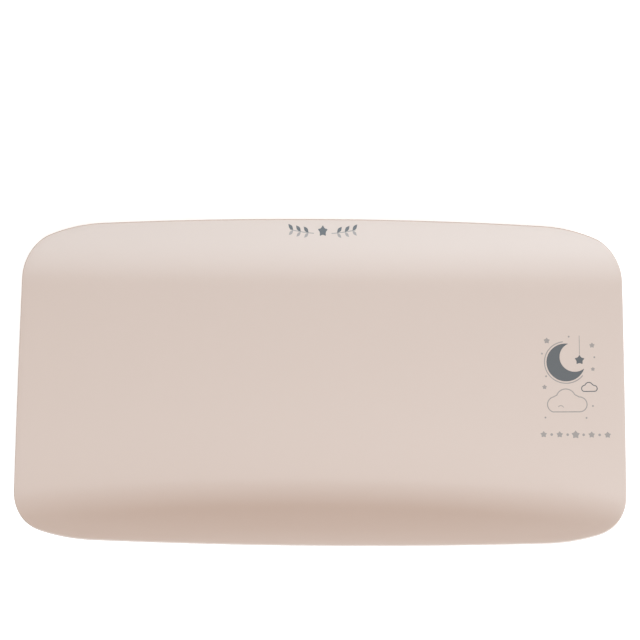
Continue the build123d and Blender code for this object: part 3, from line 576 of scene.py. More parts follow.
class Finish(Nodes):
    """A material in the making: nodes on Object coordinates that end in one principled shader."""

    def __init__(self, name):
        self.material = bpy.data.materials.new(name)
        self.material.use_nodes = True
        super().__init__(self.material.node_tree)
        self.shader = self.tree.nodes["Principled BSDF"]
        self.place = self.node("ShaderNodeTexCoord").outputs["Object"]

    def noise(self, scale, detail, stretch=None):
        """Noise of a scale per metre, drawn out along one axis if asked."""
        place = self.place
        if stretch is not None:
            place = self.result("ShaderNodeMapping", {"Vector": place, "Scale": stretch})
        return self.result("ShaderNodeTexNoise", {"Vector": place, "Scale": scale, "Detail": detail})

    def spread(self, source, low, high):
        """A number from 0 to 1 spread between two others."""
        return self.result("ShaderNodeMapRange", {"Value": source, "To Min": low, "To Max": high})

    def blend(self, share, first, second):
        """A colour between two others."""
        ends = {MIX_FIRST: (*first, 1.0), MIX_SECOND: (*second, 1.0)}
        return self.node("ShaderNodeMix", {0: share, **ends}, data_type="RGBA").outputs[MIX_RESULT]

    def mottle(self, source, tone, low, high):
        """A tone that goes from darker to lighter, by these factors."""
        return self.blend(source, shade(tone, low), shade(tone, high))

    def bump(self, source, depth):
        """A bump of a depth in metres."""
        return self.result("ShaderNodeBump", {"Height": source, "Distance": depth, "Strength": 1.0})

    def bands(self, source, stops):
        """A colour that changes in steps: each stop says where it starts, and the colour."""
        ramp = self.node("ShaderNodeValToRGB", {"Fac": source})
        ramp.color_ramp.interpolation = "CONSTANT"
        elements = ramp.color_ramp.elements
        for index, (position, tone) in enumerate(stops):
            element = elements[index] if index < len(elements) else elements.new(position)
            element.position, element.color = position, (*tone, 1)
        return ramp.outputs[0]

    def set(self, **sockets):
        """Set or join the shader's sockets; underscores stand for spaces."""
        for key, value in sockets.items():
            self.link(value, self.shader.inputs[key.replace("_", " ")])
        return self.material


def shade(tone, factor):
    """A colour made lighter or darker."""
    return tuple(min(1.0, part * factor) for part in tone)


def moulded(name, tone, roughness, grain=900.0, depth=0.02 * MM, mottle=0.03, gloss=0.5):
    """Moulded plastic: an even tone with a faint cloudiness, and a fine grain."""
    finish = Finish(name)
    cloudiness = finish.noise(9.0, 4.0)
    grains = finish.noise(grain, 2.0)
    return finish.set(
        Base_Color=finish.mottle(cloudiness, tone, 1 - mottle, 1 + mottle),
        Roughness=finish.spread(grains, roughness - 0.04, roughness + 0.04),
        Specular_IOR_Level=gloss,
        Normal=finish.bump(grains, depth),
    )


def rubber(name, tone):
    """Dull rubber with a fine tooth."""
    finish = Finish(name)
    tooth = finish.noise(1600.0, 4.0)
    dust = finish.noise(60.0, 4.0)
    return finish.set(
        Base_Color=finish.mottle(dust, tone, 0.88, 1.18),
        Roughness=finish.spread(dust, 0.72, 0.88),
        Normal=finish.bump(tooth, 0.03 * MM),
    )


def insulation(name, tone):
    """The smooth jacket of a lead, with a slight waviness."""
    finish = Finish(name)
    waves = finish.noise(260.0, 2.0)
    return finish.set(
        Base_Color=finish.mottle(waves, tone, 0.9, 1.1),
        Roughness=finish.spread(waves, 0.34, 0.48),
        Normal=finish.bump(waves, 0.02 * MM),
    )


def metal(name, tone, roughness, stretch=(40, 1, 1)):
    """Bare metal with fine marks drawn out along one way."""
    finish = Finish(name)
    marks = finish.noise(160.0, 4.0, stretch)
    stains = finish.noise(70.0, 3.0)
    return finish.set(
        Base_Color=finish.mottle(stains, tone, 0.92, 1.05),
        Metallic=1.0,
        Roughness=finish.spread(marks, roughness - 0.06, roughness + 0.08),
        Normal=finish.bump(marks, 0.004 * MM),
    )


def ink(name, tone):
    """Printed ink, a little uneven as a pad leaves it."""
    finish = Finish(name)
    speckle = finish.noise(1400.0, 3.0)
    return finish.set(
        Base_Color=finish.mottle(speckle, tone, 0.93, 1.07),
        Roughness=finish.spread(speckle, 0.42, 0.52),
    )


def board_laminate(name):
    """Green solder mask over copper tracks on a glass weave."""
    finish = Finish(name)
    cells = {"Vector": finish.place, "Scale": 210.0}
    away = finish.node("ShaderNodeTexVoronoi", cells, distance="MANHATTAN").outputs["Distance"]
    tracks = finish.math("GREATER_THAN", away, 0.38)
    weave = finish.noise(1800.0, 2.0)
    return finish.set(
        Base_Color=finish.blend(tracks, (0.012, 0.115, 0.045), (0.02, 0.17, 0.065)),
        Roughness=finish.spread(weave, 0.28, 0.42),
        Normal=finish.bump(tracks, 0.03 * MM),
    )


# Half of a battery cell's jacket, and where its steel end, dark sleeve, copper band and steel nub start, as
# shares of the whole, with their colours and how far each is bare metal.
JACKET_HALF = 21.7 * MM
JACKET_BANDS = (
    (0.0, (0.55, 0.55, 0.54), 1.0),
    (0.035, (0.028, 0.042, 0.060), 0.15),
    (0.70, (0.62, 0.30, 0.12), 0.85),
    (0.975, (0.55, 0.55, 0.54), 1.0),
)


def cell_jacket(name, way, middle_y):
    """The printed jacket of a battery cell, whose nub points to the rear (way 1) or to the front (-1)."""
    finish = Finish(name)
    y = finish.node("ShaderNodeSeparateXYZ", {0: finish.place}).outputs[1]
    ends = {"From Min": middle_y - way * JACKET_HALF, "From Max": middle_y + way * JACKET_HALF}
    along = finish.result("ShaderNodeMapRange", {"Value": y, **ends}, clamp=False)
    wrap = finish.noise(300.0, 2.0)
    return finish.set(
        Base_Color=finish.bands(along, [(start, tone) for start, tone, _ in JACKET_BANDS]),
        Metallic=finish.bands(along, [(start, (bare, bare, bare)) for start, _, bare in JACKET_BANDS]),
        Roughness=finish.spread(wrap, 0.26, 0.36),
    )


def smoked_window(name):
    """Smoked acrylic that is clear over the display and printed black around it."""
    finish = Finish(name)
    plane = face_plane(0)
    place = {"Vector": finish.place, "Location": plane.translation, "Rotation": plane.to_euler()}
    on_plane = finish.result("ShaderNodeMapping", place, vector_type="TEXTURE")
    x, y, _ = finish.node("ShaderNodeSeparateXYZ", {0: on_plane}).outputs
    outside = [
        finish.math("GREATER_THAN", finish.math("ABSOLUTE", away), half)
        for away, half in zip((x, y), WINDOW_VIEW)
    ]
    border = finish.math("MAXIMUM", *outside)
    haze = finish.noise(40.0, 3.0)
    return finish.set(
        Base_Color=finish.blend(border, (0.55, 0.58, 0.60), (0.012, 0.012, 0.013)),
        Roughness=finish.spread(haze, 0.03, 0.07),
        Transmission_Weight=finish.math("SUBTRACT", 1.0, border),
        IOR=1.49,
    )


def display_glass(name, tone):
    """The display's own glass: a dull reflective back under a clear coat."""
    finish = Finish(name)
    grain = finish.noise(2600.0, 2.0)
    return finish.set(
        Base_Color=finish.mottle(grain, tone, 0.96, 1.04),
        Roughness=finish.spread(grain, 0.20, 0.30),
        Coat_Weight=0.6,
        Coat_Roughness=0.05,
    )


def dress(nodes, finish):
    """Give carried-over nodes their finish."""
    for name in nodes:
        for slot in NODES[name].material_slots:
            slot.material = finish


def at_corners(part):
    """The nodes of a part that stands at each of the four corners."""
    return [f"{corner}_{part}" for corner in CORNERS]


# ==== Console's face ==========================================================================

FACE_TILT = radians(17.5)
FACE_CENTRE = Vector((0, -128 * MM, 31 * MM))

# Half of the window's clear part, in metres.
WINDOW_VIEW = (34 * MM, 10.5 * MM)

# How far the display lies behind the face, how far the buttons stand proud of it, and where they are, in mm.
LCD_DEPTH = 2.8
BUTTON_PROUD = 0.9
BUTTON_X = {"power": -75.0, "unit": -53.0, "hold": 53.0, "tare": 75.0}

ICON_LINE = 0.6


def face_plane(depth):
    """The console's face as a matrix, at a depth in mm behind it: x right, y up the face, z out of it."""
    out = Vector((0, -cos(FACE_TILT), sin(FACE_TILT)))
    up = Vector((0, sin(FACE_TILT), cos(FACE_TILT)))
    place = Matrix((Vector((1, 0, 0)), up, out)).transposed().to_4x4()
    place.translation = FACE_CENTRE - out * depth * MM
    return place


def on_face(centre_x, depth):
    """A placing function for prints on the console, about a point in mm right of its middle."""
    plane = face_plane(depth)
    return lambda x, y, height: plane @ Vector(((x + centre_x) * MM, y * MM, height * MM))


def power_icon():
    """A broken ring with a bar in its gap."""
    icon = Stencil()
    icon.line(arc((0, -0.3), 2.5, 120, 420, 40), 0.65)
    icon.line([(0, 0.1), (0, 3.0)], 0.65)
    return icon


def unit_icon():
    """Two arrows that point opposite ways."""
    icon = Stencil()
    for way, y in ((1, 1.25), (-1, -1.25)):
        icon.line([(-3.1 * way, y), (1.9 * way, y)], ICON_LINE)
        icon.fill([(3.4 * way, y), (1.6 * way, y + 1.15), (1.6 * way, y - 1.15)])
    return icon


def hold_icon():
    """A closed padlock."""
    icon = Stencil()
    icon.fill(rectangle(-2.3, -2.9, 2.3, 0.5))
    icon.line([(-1.45, 0.5), (-1.45, 1.3), *arc((0, 1.3), 1.45, 180, 0, 20), (1.45, 0.5)], ICON_LINE)
    return icon


def tare_icon():
    """A zero between two arrows that point at it."""
    icon = Stencil()
    icon.line([(1.05 * point.x, 1.9 * point.y) for point in circle((0, 0), 1, 40)], ICON_LINE, closed=True)
    for way in SIDES:
        icon.line([(4.9 * way, 0), (3.3 * way, 0)], ICON_LINE)
        icon.fill([(2.0 * way, 0), (3.5 * way, 1.05), (3.5 * way, -1.05)])
    return icon


ICONS = {"power": power_icon, "unit": unit_icon, "hold": hold_icon, "tare": tare_icon}

# The lit segments of a zero, as shares of a digit's width and height: where each starts and ends.
ZERO_SEGMENTS = (
    ((0, 1), (1, 1)),
    ((0, 0.5), (0, 1)),
    ((1, 0.5), (1, 1)),
    ((0, 0), (0, 0.5)),
    ((1, 0), (1, 0.5)),
    ((0, 0), (1, 0)),
)


def add_zero(stencil, left, foot, height):
    """A zero of slanted segments with pointed ends and small gaps between them."""
    slant = 0.09
    width = height * 0.52
    thick = height * 0.115
    gap = thick * 0.62
    for (x0, y0), (x1, y1) in ZERO_SEGMENTS:
        start = Vector((x0 * width, y0 * height))
        end = Vector((x1 * width, y1 * height))
        along = (end - start).normalized()
        side = Vector((-along.y, along.x))
        start += along * gap
        end -= along * gap
        bar = [
            start,
            start + (along + side) * thick / 2,
            end - (along - side) * thick / 2,
            end,
            end - (along + side) * thick / 2,
            start + (along - side) * thick / 2,
        ]
        stencil.fill([(left + point.x + point.y * slant, foot + point.y) for point in bar])


# ==== Operators ===============================================================================


class ScaleOperator:
    """What the operators of this file share."""

    bl_options = {"REGISTER", "UNDO"}

    @classmethod
    def poll(cls, context):
        """Whether there is a scene to build in."""
        return context.scene is not None


class SCALE_OT_weighing_tray(ScaleOperator, bpy.types.Operator):
    """Make the weighing tray: a blank with a turned-down edge, pressed to the rule of its two walls"""

    bl_idname = "scale.weighing_tray"
    bl_label = "Weighing Tray"

    # How finely the blank is divided: along its edge, round its rim and foot, and over and under its floor.
    spacing = 4.0 * MM
    rounds = 6
    top_rings = 46
    under_rings = 30

    # The rounded foot of the turned-down edge, and how far ribs and bosses reach into the skin.
    foot = 1.2 * MM
    sunk = 0.4 * MM

    # Places of ribs and bosses in mm: where the base's rim is, the ribs from there out to the tray's edge,
    # those under its floor with half their lengths, and the bosses.
    base_half = Vector((254, 127))
    edge_rib_x = range(-200, 201, 50)
    edge_rib_y = (-66, 66)
    long_rib_y = (-45, 0, 45)
    cross_rib_x = (-180, -110, -35, 35, 110, 180)
    long_rib_half = 230
    cross_rib_half = 80
    boss_spots = ((-214, 0), (214, 0), (-132, 90), (132, 90), (-55, 92), (55, 92), (-132, -90), (132, -90))
    boss_foot = 30 * MM
    boss_radius = 4 * MM

    def rounding(self, tray, point, out):
        """The rounded rim at a point of the edge: (inset, drop under the wall's rule), from top to side."""
        radius = tray.edge_round
        rim = tray_height(tray, *point)
        slope = (rim - tray_height(tray, *(point - out * MM))) / MM
        lean = atan(slope)
        middle = rim - slope * radius - radius / cos(lean)
        steps = []
        for k in range(self.rounds + 1):
            turn = (pi / 2 + lean) * k / self.rounds - lean
            inset = radius * (1 - sin(turn))
            surface = tray_height(tray, *(point - out * inset))
            steps.append((inset, surface - middle - radius * cos(turn)))
        return steps

    def blank(self, tray, outline):
        """The tray's closed shell as a flat blank, with each point's depth under the tray's upper face."""
        seam = tray.skirt - self.foot
        rounded = [self.rounding(tray, point, out) for point, out in outline]

        def edge(insets, drops):
            return [(*(point - out * a), -b) for (point, out), a, b in zip(outline, insets, drops)]

        def level(inset, drop):
            return edge([inset] * len(outline), [drop] * len(outline))

        def shrunk(places, share):
            return [(*(point * share), 0.0) for point in places]

        inner = [point - out * steps[0][0] for (point, out), steps in zip(outline, rounded)]
        rings = [shrunk(inner, k / self.top_rings) for k in range(1, self.top_rings)]
        for k in range(self.rounds + 1):
            rings.append(edge([steps[k][0] for steps in rounded], [steps[k][1] for steps in rounded]))
        for share in (0.3, 0.65, 1.0):
            drops = [steps[-1][1] * (1 - share) + seam * share for steps in rounded]
            rings.append(edge([tray.skirt_lean * share] * len(outline), drops))
        for k in range(1, self.rounds + 1):
            turn = pi * k / self.rounds
            inset = tray.skirt_lean + tray.skin / 2 * (1 - cos(turn))
            rings.append(level(inset, seam + self.foot * sin(turn)))
        rings.append(level(tray.skin + tray.skirt_lean / 2, tray.skirt / 2))
        depths = [0.0] * len(rings) * len(outline)
        inside = [point - out * tray.skin for point, out in outline]
        rings += [shrunk(inside, k / self.under_rings) for k in range(self.under_rings, 0, -1)]
        depths += [tray.skin] * self.under_rings * len(outline)
        mesh = loft_mesh("tray blank", rings, downwards=True)
        depths += [0.0, tray.skin]
        mesh.attributes.new("depth", "FLOAT", "POINT").data.foreach_set("value", depths)
        return mesh

    def press_tree(self, rise_group):
        """A tree that presses the blank: each point goes up to the rule, at its own depth."""
        tree = ShapeTree("press tray", PRESS_SIZES)
        depth = tree.result("GeometryNodeInputNamedAttribute", {"Name": "depth"}, data_type="FLOAT")
        shaped = pressed(tree, tree.inputs["Geometry"], rise_group, depth)
        return tree.finish(tree.result("GeometryNodeSetShadeSmooth", {"Geometry": shaped}))

    def rib_lines(self, tray, outline):
        """The middle lines of the ribs, as loose edges."""
        gap = tray.skin - self.sunk + tray.skirt_lean
        base = self.base_half
        lines = []
        for x in self.edge_rib_x:
            reach = (edge_reach(outline, x * MM, 1) - gap) / MM
            lines += [((x, side * base.y), (x, side * reach)) for side in SIDES]
        for y in self.edge_rib_y:
            reach = (edge_reach(outline, y * MM, 0) - gap) / MM
            lines += [((side * base.x, y), (side * reach, y)) for side in SIDES]
        lines += [((-self.long_rib_half, y), (self.long_rib_half, y)) for y in self.long_rib_y]
        lines += [((x, -self.cross_rib_half), (x, self.cross_rib_half)) for x in self.cross_rib_x]
        points = [(x * MM, y * MM, 0.0) for line in lines for x, y in line]
        return plain_mesh("rib lines", points, [(2 * i, 2 * i + 1) for i in range(len(lines))])

    def rib_tree(self, rise_group):
        """A tree that runs a rib along each line, against the tray's underside."""
        tree = ShapeTree("tray ribs", (*PRESS_SIZES, "Depth", "Rib depth", "Rib thickness"))
        fine = tree.result("GeometryNodeSubdivideMesh", {"Mesh": tree.inputs["Geometry"], "Level": 5})
        shaped = pressed(tree, fine, rise_group, tree.inputs["Depth"])
        drop = tree.math("MULTIPLY", tree.inputs["Rib depth"], -0.5)
        offset = tree.result("ShaderNodeCombineXYZ", {2: drop})
        lowered = tree.result("GeometryNodeSetPosition", {"Geometry": shaped, "Offset": offset})
        lines = tree.result("GeometryNodeMeshToCurve", {"Mesh": lowered})
        upright = tree.result("GeometryNodeSetCurveNormal", {"Curve": lines}, mode="Z_UP")
        sizes = {"Width": tree.inputs["Rib thickness"], "Height": tree.inputs["Rib depth"]}
        section = tree.result("GeometryNodeCurvePrimitiveQuadrilateral", sizes)
        run = {"Curve": upright, "Profile Curve": section, "Fill Caps": True}
        return tree.finish(tree.result("GeometryNodeCurveToMesh", run))

    def boss_tree(self):
        """A tree that stands a round boss on each screw's place."""
        tree = ShapeTree("tray bosses", ("Radius", "Height"))
        sizes = {"Vertices": 32, "Radius": tree.inputs["Radius"], "Depth": tree.inputs["Height"]}
        post = tree.result("GeometryNodeMeshCylinder", sizes)
        stand = {"Points": tree.inputs["Geometry"], "Instance": post}
        return tree.finish(tree.result("GeometryNodeInstanceOnPoints", stand))

    def execute(self, context):
        tray = context.scene.scale_tray
        outline = tray_outline(tray, self.spacing)
        rise_group = wall_rise_group()
        tone = context.scene.scale_finishes.tray
        satin = {"grain": 1500.0, "depth": 0.012 * MM, "mottle": 0.008, "gloss": 0.25}
        finish = moulded("tray satin plastic", tone, 0.46, **satin)
        values = press_values(tray)
        blank, tree = self.blank(tray, outline), self.press_tree(rise_group)
        shell = grow("weighing_tray_shell", blank, tree, values, finish)
        smooth(shell.data, 50)
        declare(shell, SCALE_BODY, "weighing_tray")
        values["Depth"] = tray.skin - self.sunk
        values["Rib depth"] = tray.rib_depth
        values["Rib thickness"] = tray.rib_thickness
        lines, tree = self.rib_lines(tray, outline), self.rib_tree(rise_group)
        ribs = grow("tray_ribs", lines, tree, values, finish)
        declare(ribs, SCALE_BODY)
        low, high = self.boss_foot, tray.floor_height - tray.skin / 2
        places = plain_mesh("screw places", [(x * MM, y * MM, (low + high) / 2) for x, y in self.boss_spots])
        sizes = {"Radius": self.boss_radius, "Height": high - low}
        bosses = grow("tray_bosses", places, self.boss_tree(), sizes, finish)
        smooth(bosses.data)
        declare(bosses, SCALE_BODY)
        return {"FINISHED"}


class SCALE_OT_tray_prints(ScaleOperator, bpy.types.Operator):
    """Print a night sky and a row of stars on the tray's floor, and a sprig on its rear wall"""

    bl_idname = "scale.tray_prints"
    bl_label = "Tray Prints"

    def night_sky(self, line):
        """A moon, a hanging star, two clouds and small stars; the dark and the light shapes apart."""
        dark, light = Stencil(), Stencil()
        moon = (-3, 13)
        dark.fill(crescent(moon, 17.5, (5, 18), 13.6))
        light.line(arc(moon, 19.3, 97, 322, 60), line)
        light.line([(9.5, 38), (9.5, 20.2)], line * 0.6)
        dark.fill(star((9.5, 15.4), 4.6))
        light.line(cloud((-1, -26), 19), line, closed=True)
        dark.line(cloud((18.5, -11), 7.5), line * 0.9, closed=True)
        light.line(arc((-8, -29.5), 2.6, 20, 150, 14), line * 0.7)
        for x, y, radius in ((-20, 33, 3.0), (21, 29, 2.6), (-22.5, -10, 2.3), (21.5, 7, 2.0)):
            light.fill(star((x, y), radius))
        for spot in ((-24.5, 21), (0, 37), (23, 18), (21, -27), (-22, -38), (15, -38), (-21, 0)):
            light.fill(circle(spot, 0.85))
        return dark, light

    def star_row(self):
        """A row of small stars and dots, with a larger star in its middle."""
        row = Stencil()
        spacing = 7.2
        for place in range(-4, 5):
            middle = (place * spacing, 0)
            if place % 2:
                row.fill(circle(middle, 1.2))
            else:
                row.fill(star(middle, 3.1 if place else 3.9))
        return row

    def sprig(self, line):
        """A star between two leafy twigs; the dark and the light shapes apart."""
        dark, light = Stencil(), Stencil()
        dark.fill(star((0, 0.4), 4.6))

        def on_twig(way, x):
            return (way * x, 0.0035 * x * x - 1.6)

        for way in SIDES:
            light.line([on_twig(way, x) for x in range(8, 32, 2)], line * 0.7)
            for x in (13, 20, 27):
                foot = on_twig(way, x)
                dark.fill(leaf(foot, (way * (x + 4.4), foot[1] + 5.0), 3.0))
                light.fill(leaf(foot, (way * (x + 4.0), foot[1] - 4.0), 2.4))
        return dark, light

    def execute(self, context):
        tray, prints = context.scene.scale_tray, context.scene.scale_prints
        tones = context.scene.scale_finishes
        dark_ink, light_ink = ink("slate ink", tones.dark_ink), ink("grey ink", tones.light_ink)
        line = prints.line / MM

        def on_tray(centre_x, centre_y):
            def place(x, y, height):
                px, py = centre_x + x * MM, centre_y + y * MM
                return Vector((px, py, tray_height(tray, px, py) + height * MM))

            return place

        night = on_tray(prints.night_x, prints.night_y)
        row = on_tray(prints.stars_x, prints.stars_y)
        wall = on_tray(prints.sprig_x, prints.sprig_y)
        dark, light = self.night_sky(line)
        dark_sprig, light_sprig = self.sprig(line)
        layers = (
            ("night_print_dark", dark, night, dark_ink),
            ("night_print_light", light, night, light_ink),
            ("star_row_print", self.star_row(), row, light_ink),
            ("sprig_print_dark", dark_sprig, wall, dark_ink),
            ("sprig_print_light", light_sprig, wall, light_ink),
        )
        for name, stencil, place, finish in layers:
            add_piece(name, stencil.film(name, place, prints.film), SCALE_BODY, finish)
        return {"FINISHED"}


class SCALE_OT_housing(ScaleOperator, bpy.types.Operator):
    """Finish the base, the battery door, the fascia and the feet, with a ringed rubber pad in each foot"""

    bl_idname = "scale.housing"
    bl_label = "Housing"

    def pad_profile(self, top):
        """Half of a pad's section in mm: three rings on its sole, a rounded edge and a flat top."""
        hub, groove, flat, rounding = 0.6, 0.5, 15.0, 0.8
        across_ring = ((-1.1, groove), (-0.8, groove), (-0.5, 0.0), (1.2, 0.0), (1.5, groove))
        sole = [(radius + x, height) for radius in (3.0, 7.0, 11.0) for x, height in across_ring]
        edge = [(13.4, groove), (13.7, 0.0), (flat, 0.0)]
        for step in range(1, 5):
            turn = step * pi / 8
            edge.append((flat + rounding * sin(turn), rounding * (1 - cos(turn))))
        return [(hub, groove), *sole, *edge, (flat + rounding, top), (8.0, top), (hub, top)]

    def execute(self, context):
        tones = context.scene.scale_finishes
        housing = moulded("housing textured plastic", tones.housing, 0.56, grain=1300.0, depth=0.03 * MM)
        dress(("base_cover", "battery_door"), housing)
        polish = {"grain": 700.0, "depth": 0.004 * MM, "mottle": 0.01}
        dress(("console_fascia",), moulded("fascia polished plastic", tones.fascia, 0.24, **polish))
        inner = moulded("inner plastic", (0.56, 0.545, 0.52), 0.5)
        dress((*at_corners("foot"), *at_corners("cell_holder"), "lcd_holder"), inner)
        tread = rubber("grey rubber", (0.085, 0.088, 0.092))
        dress(("lcd_contact_strip", *at_corners("load_button")), tread)
        for node in at_corners("foot_pad"):
            low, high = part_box(node)
            centre = (Vector(low) + Vector(high)) / 2
            section = self.pad_profile((high[2] - low[2]) / MM)
            profile = [(radius * MM, height * MM) for radius, height in section]
            mesh = lathe(node + "_tread", profile, centre, segments=72)
            smooth(mesh, 30)
            add_piece(node + "_tread", mesh, SCALE_BODY, tread, node)
        return {"FINISHED"}


class SCALE_OT_console(ScaleOperator, bpy.types.Operator):
    """Finish the window, the display with its digits, and the four buttons with their icons"""

    bl_idname = "scale.console"
    bl_label = "Console"

    # Thickness of the ink on the display and on the buttons.
    display_ink = 0.03 * MM
    button_ink = 0.04 * MM

    def reading(self, height):
        """The display's reading: three zeros with a point, a stable mark and a full battery."""
        stencil = Stencil()
        foot = -height / 2
        step = height * 0.82
        first, point_gap = -21.0, 2.2
        for left in (first, first + step + point_gap, first + 2 * step + point_gap):
            add_zero(stencil, left, foot, height)
        stencil.fill(rectangle(first + step - 1.9, foot, first + step - 0.3, foot + 1.6))
        stencil.line(circle((-28.0, 5.9), 1.6), 0.6, closed=True)
        stencil.line(rectangle(23, 4.6, 29.6, 8.0), 0.45, closed=True)
        stencil.fill(rectangle(29.9, 5.6, 30.7, 7.0))
        for bar in (23.9, 25.9, 27.9):
            stencil.fill(rectangle(bar, 5.3, bar + 1.1, 7.3))
        return stencil

    def unit_mark(self, place):
        """The letters of the unit, as a flat mesh on the display."""
        curve = bpy.data.curves.new("unit mark", "FONT")
        curve.body = "kg"
        curve.size = 6.6
        curve.extrude = 0.02
        holder = new_object("unit mark", curve)
        mesh = evaluated_mesh(holder)
        bpy.data.objects.remove(holder)
        right, up, proud = 22.5, -6.0, 0.03
        for vert in mesh.vertices:
            vert.co = place(vert.co.x + right, vert.co.y + up, vert.co.z + proud)
        return mesh

    def execute(self, context):
        tones, prints = context.scene.scale_finishes, context.scene.scale_prints
        dress(("display_window",), smoked_window("smoked window"))
        dress(("lcd_glass",), display_glass("display glass", tones.display))
        dress(("lcd_backlight",), moulded("light guide", (0.80, 0.86, 0.88), 0.3))
        buttons = moulded("button soft plastic", tones.buttons, 0.42, grain=1800.0, depth=0.01 * MM)
        dress([f"{key}_button" for key in KEYS], buttons)
        black = moulded("black moulding", (0.016, 0.016, 0.017), 0.45)
        dress([f"{key}_switch_plunger" for key in KEYS], black)
        dress(("switch_bodies", "controller_chip", "converter_chip", "buzzer"), black)
        segments = ink("display segments", (0.010, 0.013, 0.012))
        on_glass = on_face(0, LCD_DEPTH)
        digits = self.reading(prints.digit_height / MM).film("display_reading", on_glass, self.display_ink)
        add_piece("display_reading", digits, SCALE_BODY, segments)
        add_piece("display_unit", self.unit_mark(on_glass), SCALE_BODY, segments)
        white = ink("white ink", (0.80, 0.80, 0.78))
        for key in KEYS:
            mesh = ICONS[key]().film(f"{key}_icon", on_face(BUTTON_X[key], -BUTTON_PROUD), self.button_ink)
            add_piece(f"{key}_icon", mesh, f"{key}_key", white)
        return {"FINISHED"}


class SCALE_OT_battery_bay(ScaleOperator, bpy.types.Operator):
    """Finish the cells and their contacts, with coiled springs"""

    bl_idname = "scale.battery_bay"
    bl_label = "Battery Bay"

    # Which way the nub of each cell points: to the rear (1) or to the front (-1).
    ways = (1, -1, 1, -1)

    # The spring's plate, and how far a cell's jacket stands off the middle of the bay.
    plate = 0.4 * MM
    plate_side = 9 * MM
    plate_bevel = 0.12 * MM
    nub_shift = 1.85 * MM

    # Where the marks beside the cells and the door's arrow are, and the thickness of their ink.
    marks_y = 63.2 * MM
    arrow_y = 45 * MM
    ink_depth = 0.04 * MM

    # How far the ledge that carries the marks is above the door.
    ledge_gap = 0.1 * MM

    spring = {
        "Turns": 4.5,
        "Foot radius": 3.9 * MM,
        "Tip radius": 2.9 * MM,
        "Height": 5.1 * MM,
        "Wire radius": 0.32 * MM,
    }

    def spring_tree(self):
        """A tree that coils a tapered spring on each contact, turned as its point says."""
        tree = ShapeTree("contact springs", self.spring)
        sizes = {
            "Resolution": 28,
            "Rotations": tree.inputs["Turns"],
            "Start Radius": tree.inputs["Foot radius"],
            "End Radius": tree.inputs["Tip radius"],
            "Height": tree.inputs["Height"],
        }
        coil = tree.result("GeometryNodeCurveSpiral", sizes)
        section = {"Resolution": 10, "Radius": tree.inputs["Wire radius"]}
        wire = tree.result("GeometryNodeCurvePrimitiveCircle", section)
        run = {"Curve": coil, "Profile Curve": wire, "Fill Caps": True}
        body = tree.result("GeometryNodeCurveToMesh", run)
        turn = tree.result("GeometryNodeInputNamedAttribute", {"Name": "turn"}, data_type="FLOAT_VECTOR")
        stand = {"Points": tree.inputs["Geometry"], "Instance": body, "Rotation": turn}
        coils = tree.result("GeometryNodeInstanceOnPoints", stand)
        return tree.finish(tree.result("GeometryNodeSetShadeSmooth", {"Geometry": coils}))

    def springs(self, places, steel):
        """A coiled spring on the plate at each of these places, which turns it to its cell."""
        points = plain_mesh("spring places", places)
        turns = [value for way in self.ways for value in (-way * pi / 2, 0.0, 0.0)]
        points.attributes.new("turn", "FLOAT_VECTOR", "POINT").data.foreach_set("vector", turns)
        coils = grow("contact_springs", points, self.spring_tree(), self.spring, steel)
        declare(coils, SCALE_BODY, "battery_springs")

    def spring_plates(self, places, steel):
        """The plate behind each spring."""
        plates = bmesh.new()
        for (x, y, z), way in zip(places, self.ways):
            corners = bmesh.ops.create_cube(plates, size=1.0)["verts"]
            bmesh.ops.scale(plates, vec=(self.plate_side, self.plate, self.plate_side), verts=corners)
            bmesh.ops.translate(plates, vec=(x, y - way * self.plate / 2, z), verts=corners)
        bmesh.ops.bevel(plates, geom=list(plates.edges), offset=self.plate_bevel, segments=2, affect="EDGES")
        add_piece("spring_plates", worked_mesh("spring_plates", plates), SCALE_BODY, steel)

    def marks(self, places):
        """A plus or a minus beside the rear end of each cell."""
        marks = Stencil()
        long, thin = 1.15, 0.28
        for (place, _, _), way in zip(places, self.ways):
            x = place / MM
            if way < 0:
                marks.fill(rectangle(x - long, -thin, x + long, thin))
                continue
            corner = [Vector(point) for point in ((thin, thin), (thin, long), (-thin, long))]
            quarters = [Matrix.Rotation(turn * pi / 2, 2) for turn in range(4)]
            marks.fill([quarter @ point + Vector((x, 0)) for quarter in quarters for point in corner])
        return marks

    def arrow(self):
        """An arrow that shows which way the door's latch is pulled."""
        arrow = Stencil()
        arrow.fill([(-0.9, 5.5), (-0.9, 0.6), (-3.6, 0.6), (0, -4.4), (3.6, 0.6), (0.9, 0.6), (0.9, 5.5)])
        return arrow

    def underneath(self, name, stencil, y, z, body, finish):
        """A print on a face that looks down, about a place."""

        def place(x, along, height):
            return Vector((x * MM, y + along * MM, z - height * MM))

        add_piece(name, stencil.film(name, place, self.ink_depth), body, finish)

    def execute(self, context):
        steel = metal("nickelled spring steel", (0.62, 0.61, 0.58), 0.24)
        low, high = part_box("battery_springs")
        middle_y = (low[1] + high[1]) / 2
        places = []
        for number, way in enumerate(self.ways, 1):
            node = f"battery_cell_{number}"
            cell_low, cell_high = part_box(node)
            x, z = (cell_low[0] + cell_high[0]) / 2, (cell_low[2] + cell_high[2]) / 2
            places.append((x, low[1] + self.plate if way > 0 else high[1] - self.plate, z))
            dress((node,), cell_jacket(f"cell jacket {number}", way, middle_y + way * self.nub_shift))
        self.springs(places, steel)
        self.spring_plates(places, steel)
        dress(("battery_contacts",), steel)
        door_low, door_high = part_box("battery_door")
        ledge = door_high[2] + self.ledge_gap
        grey = ink("moulding grey ink", (0.23, 0.215, 0.205))
        self.underneath("cell_marks", self.marks(places), self.marks_y, ledge, SCALE_BODY, grey)
        self.underneath("door_arrow", self.arrow(), self.arrow_y, door_low[2], "door", grey)
        return {"FINISHED"}


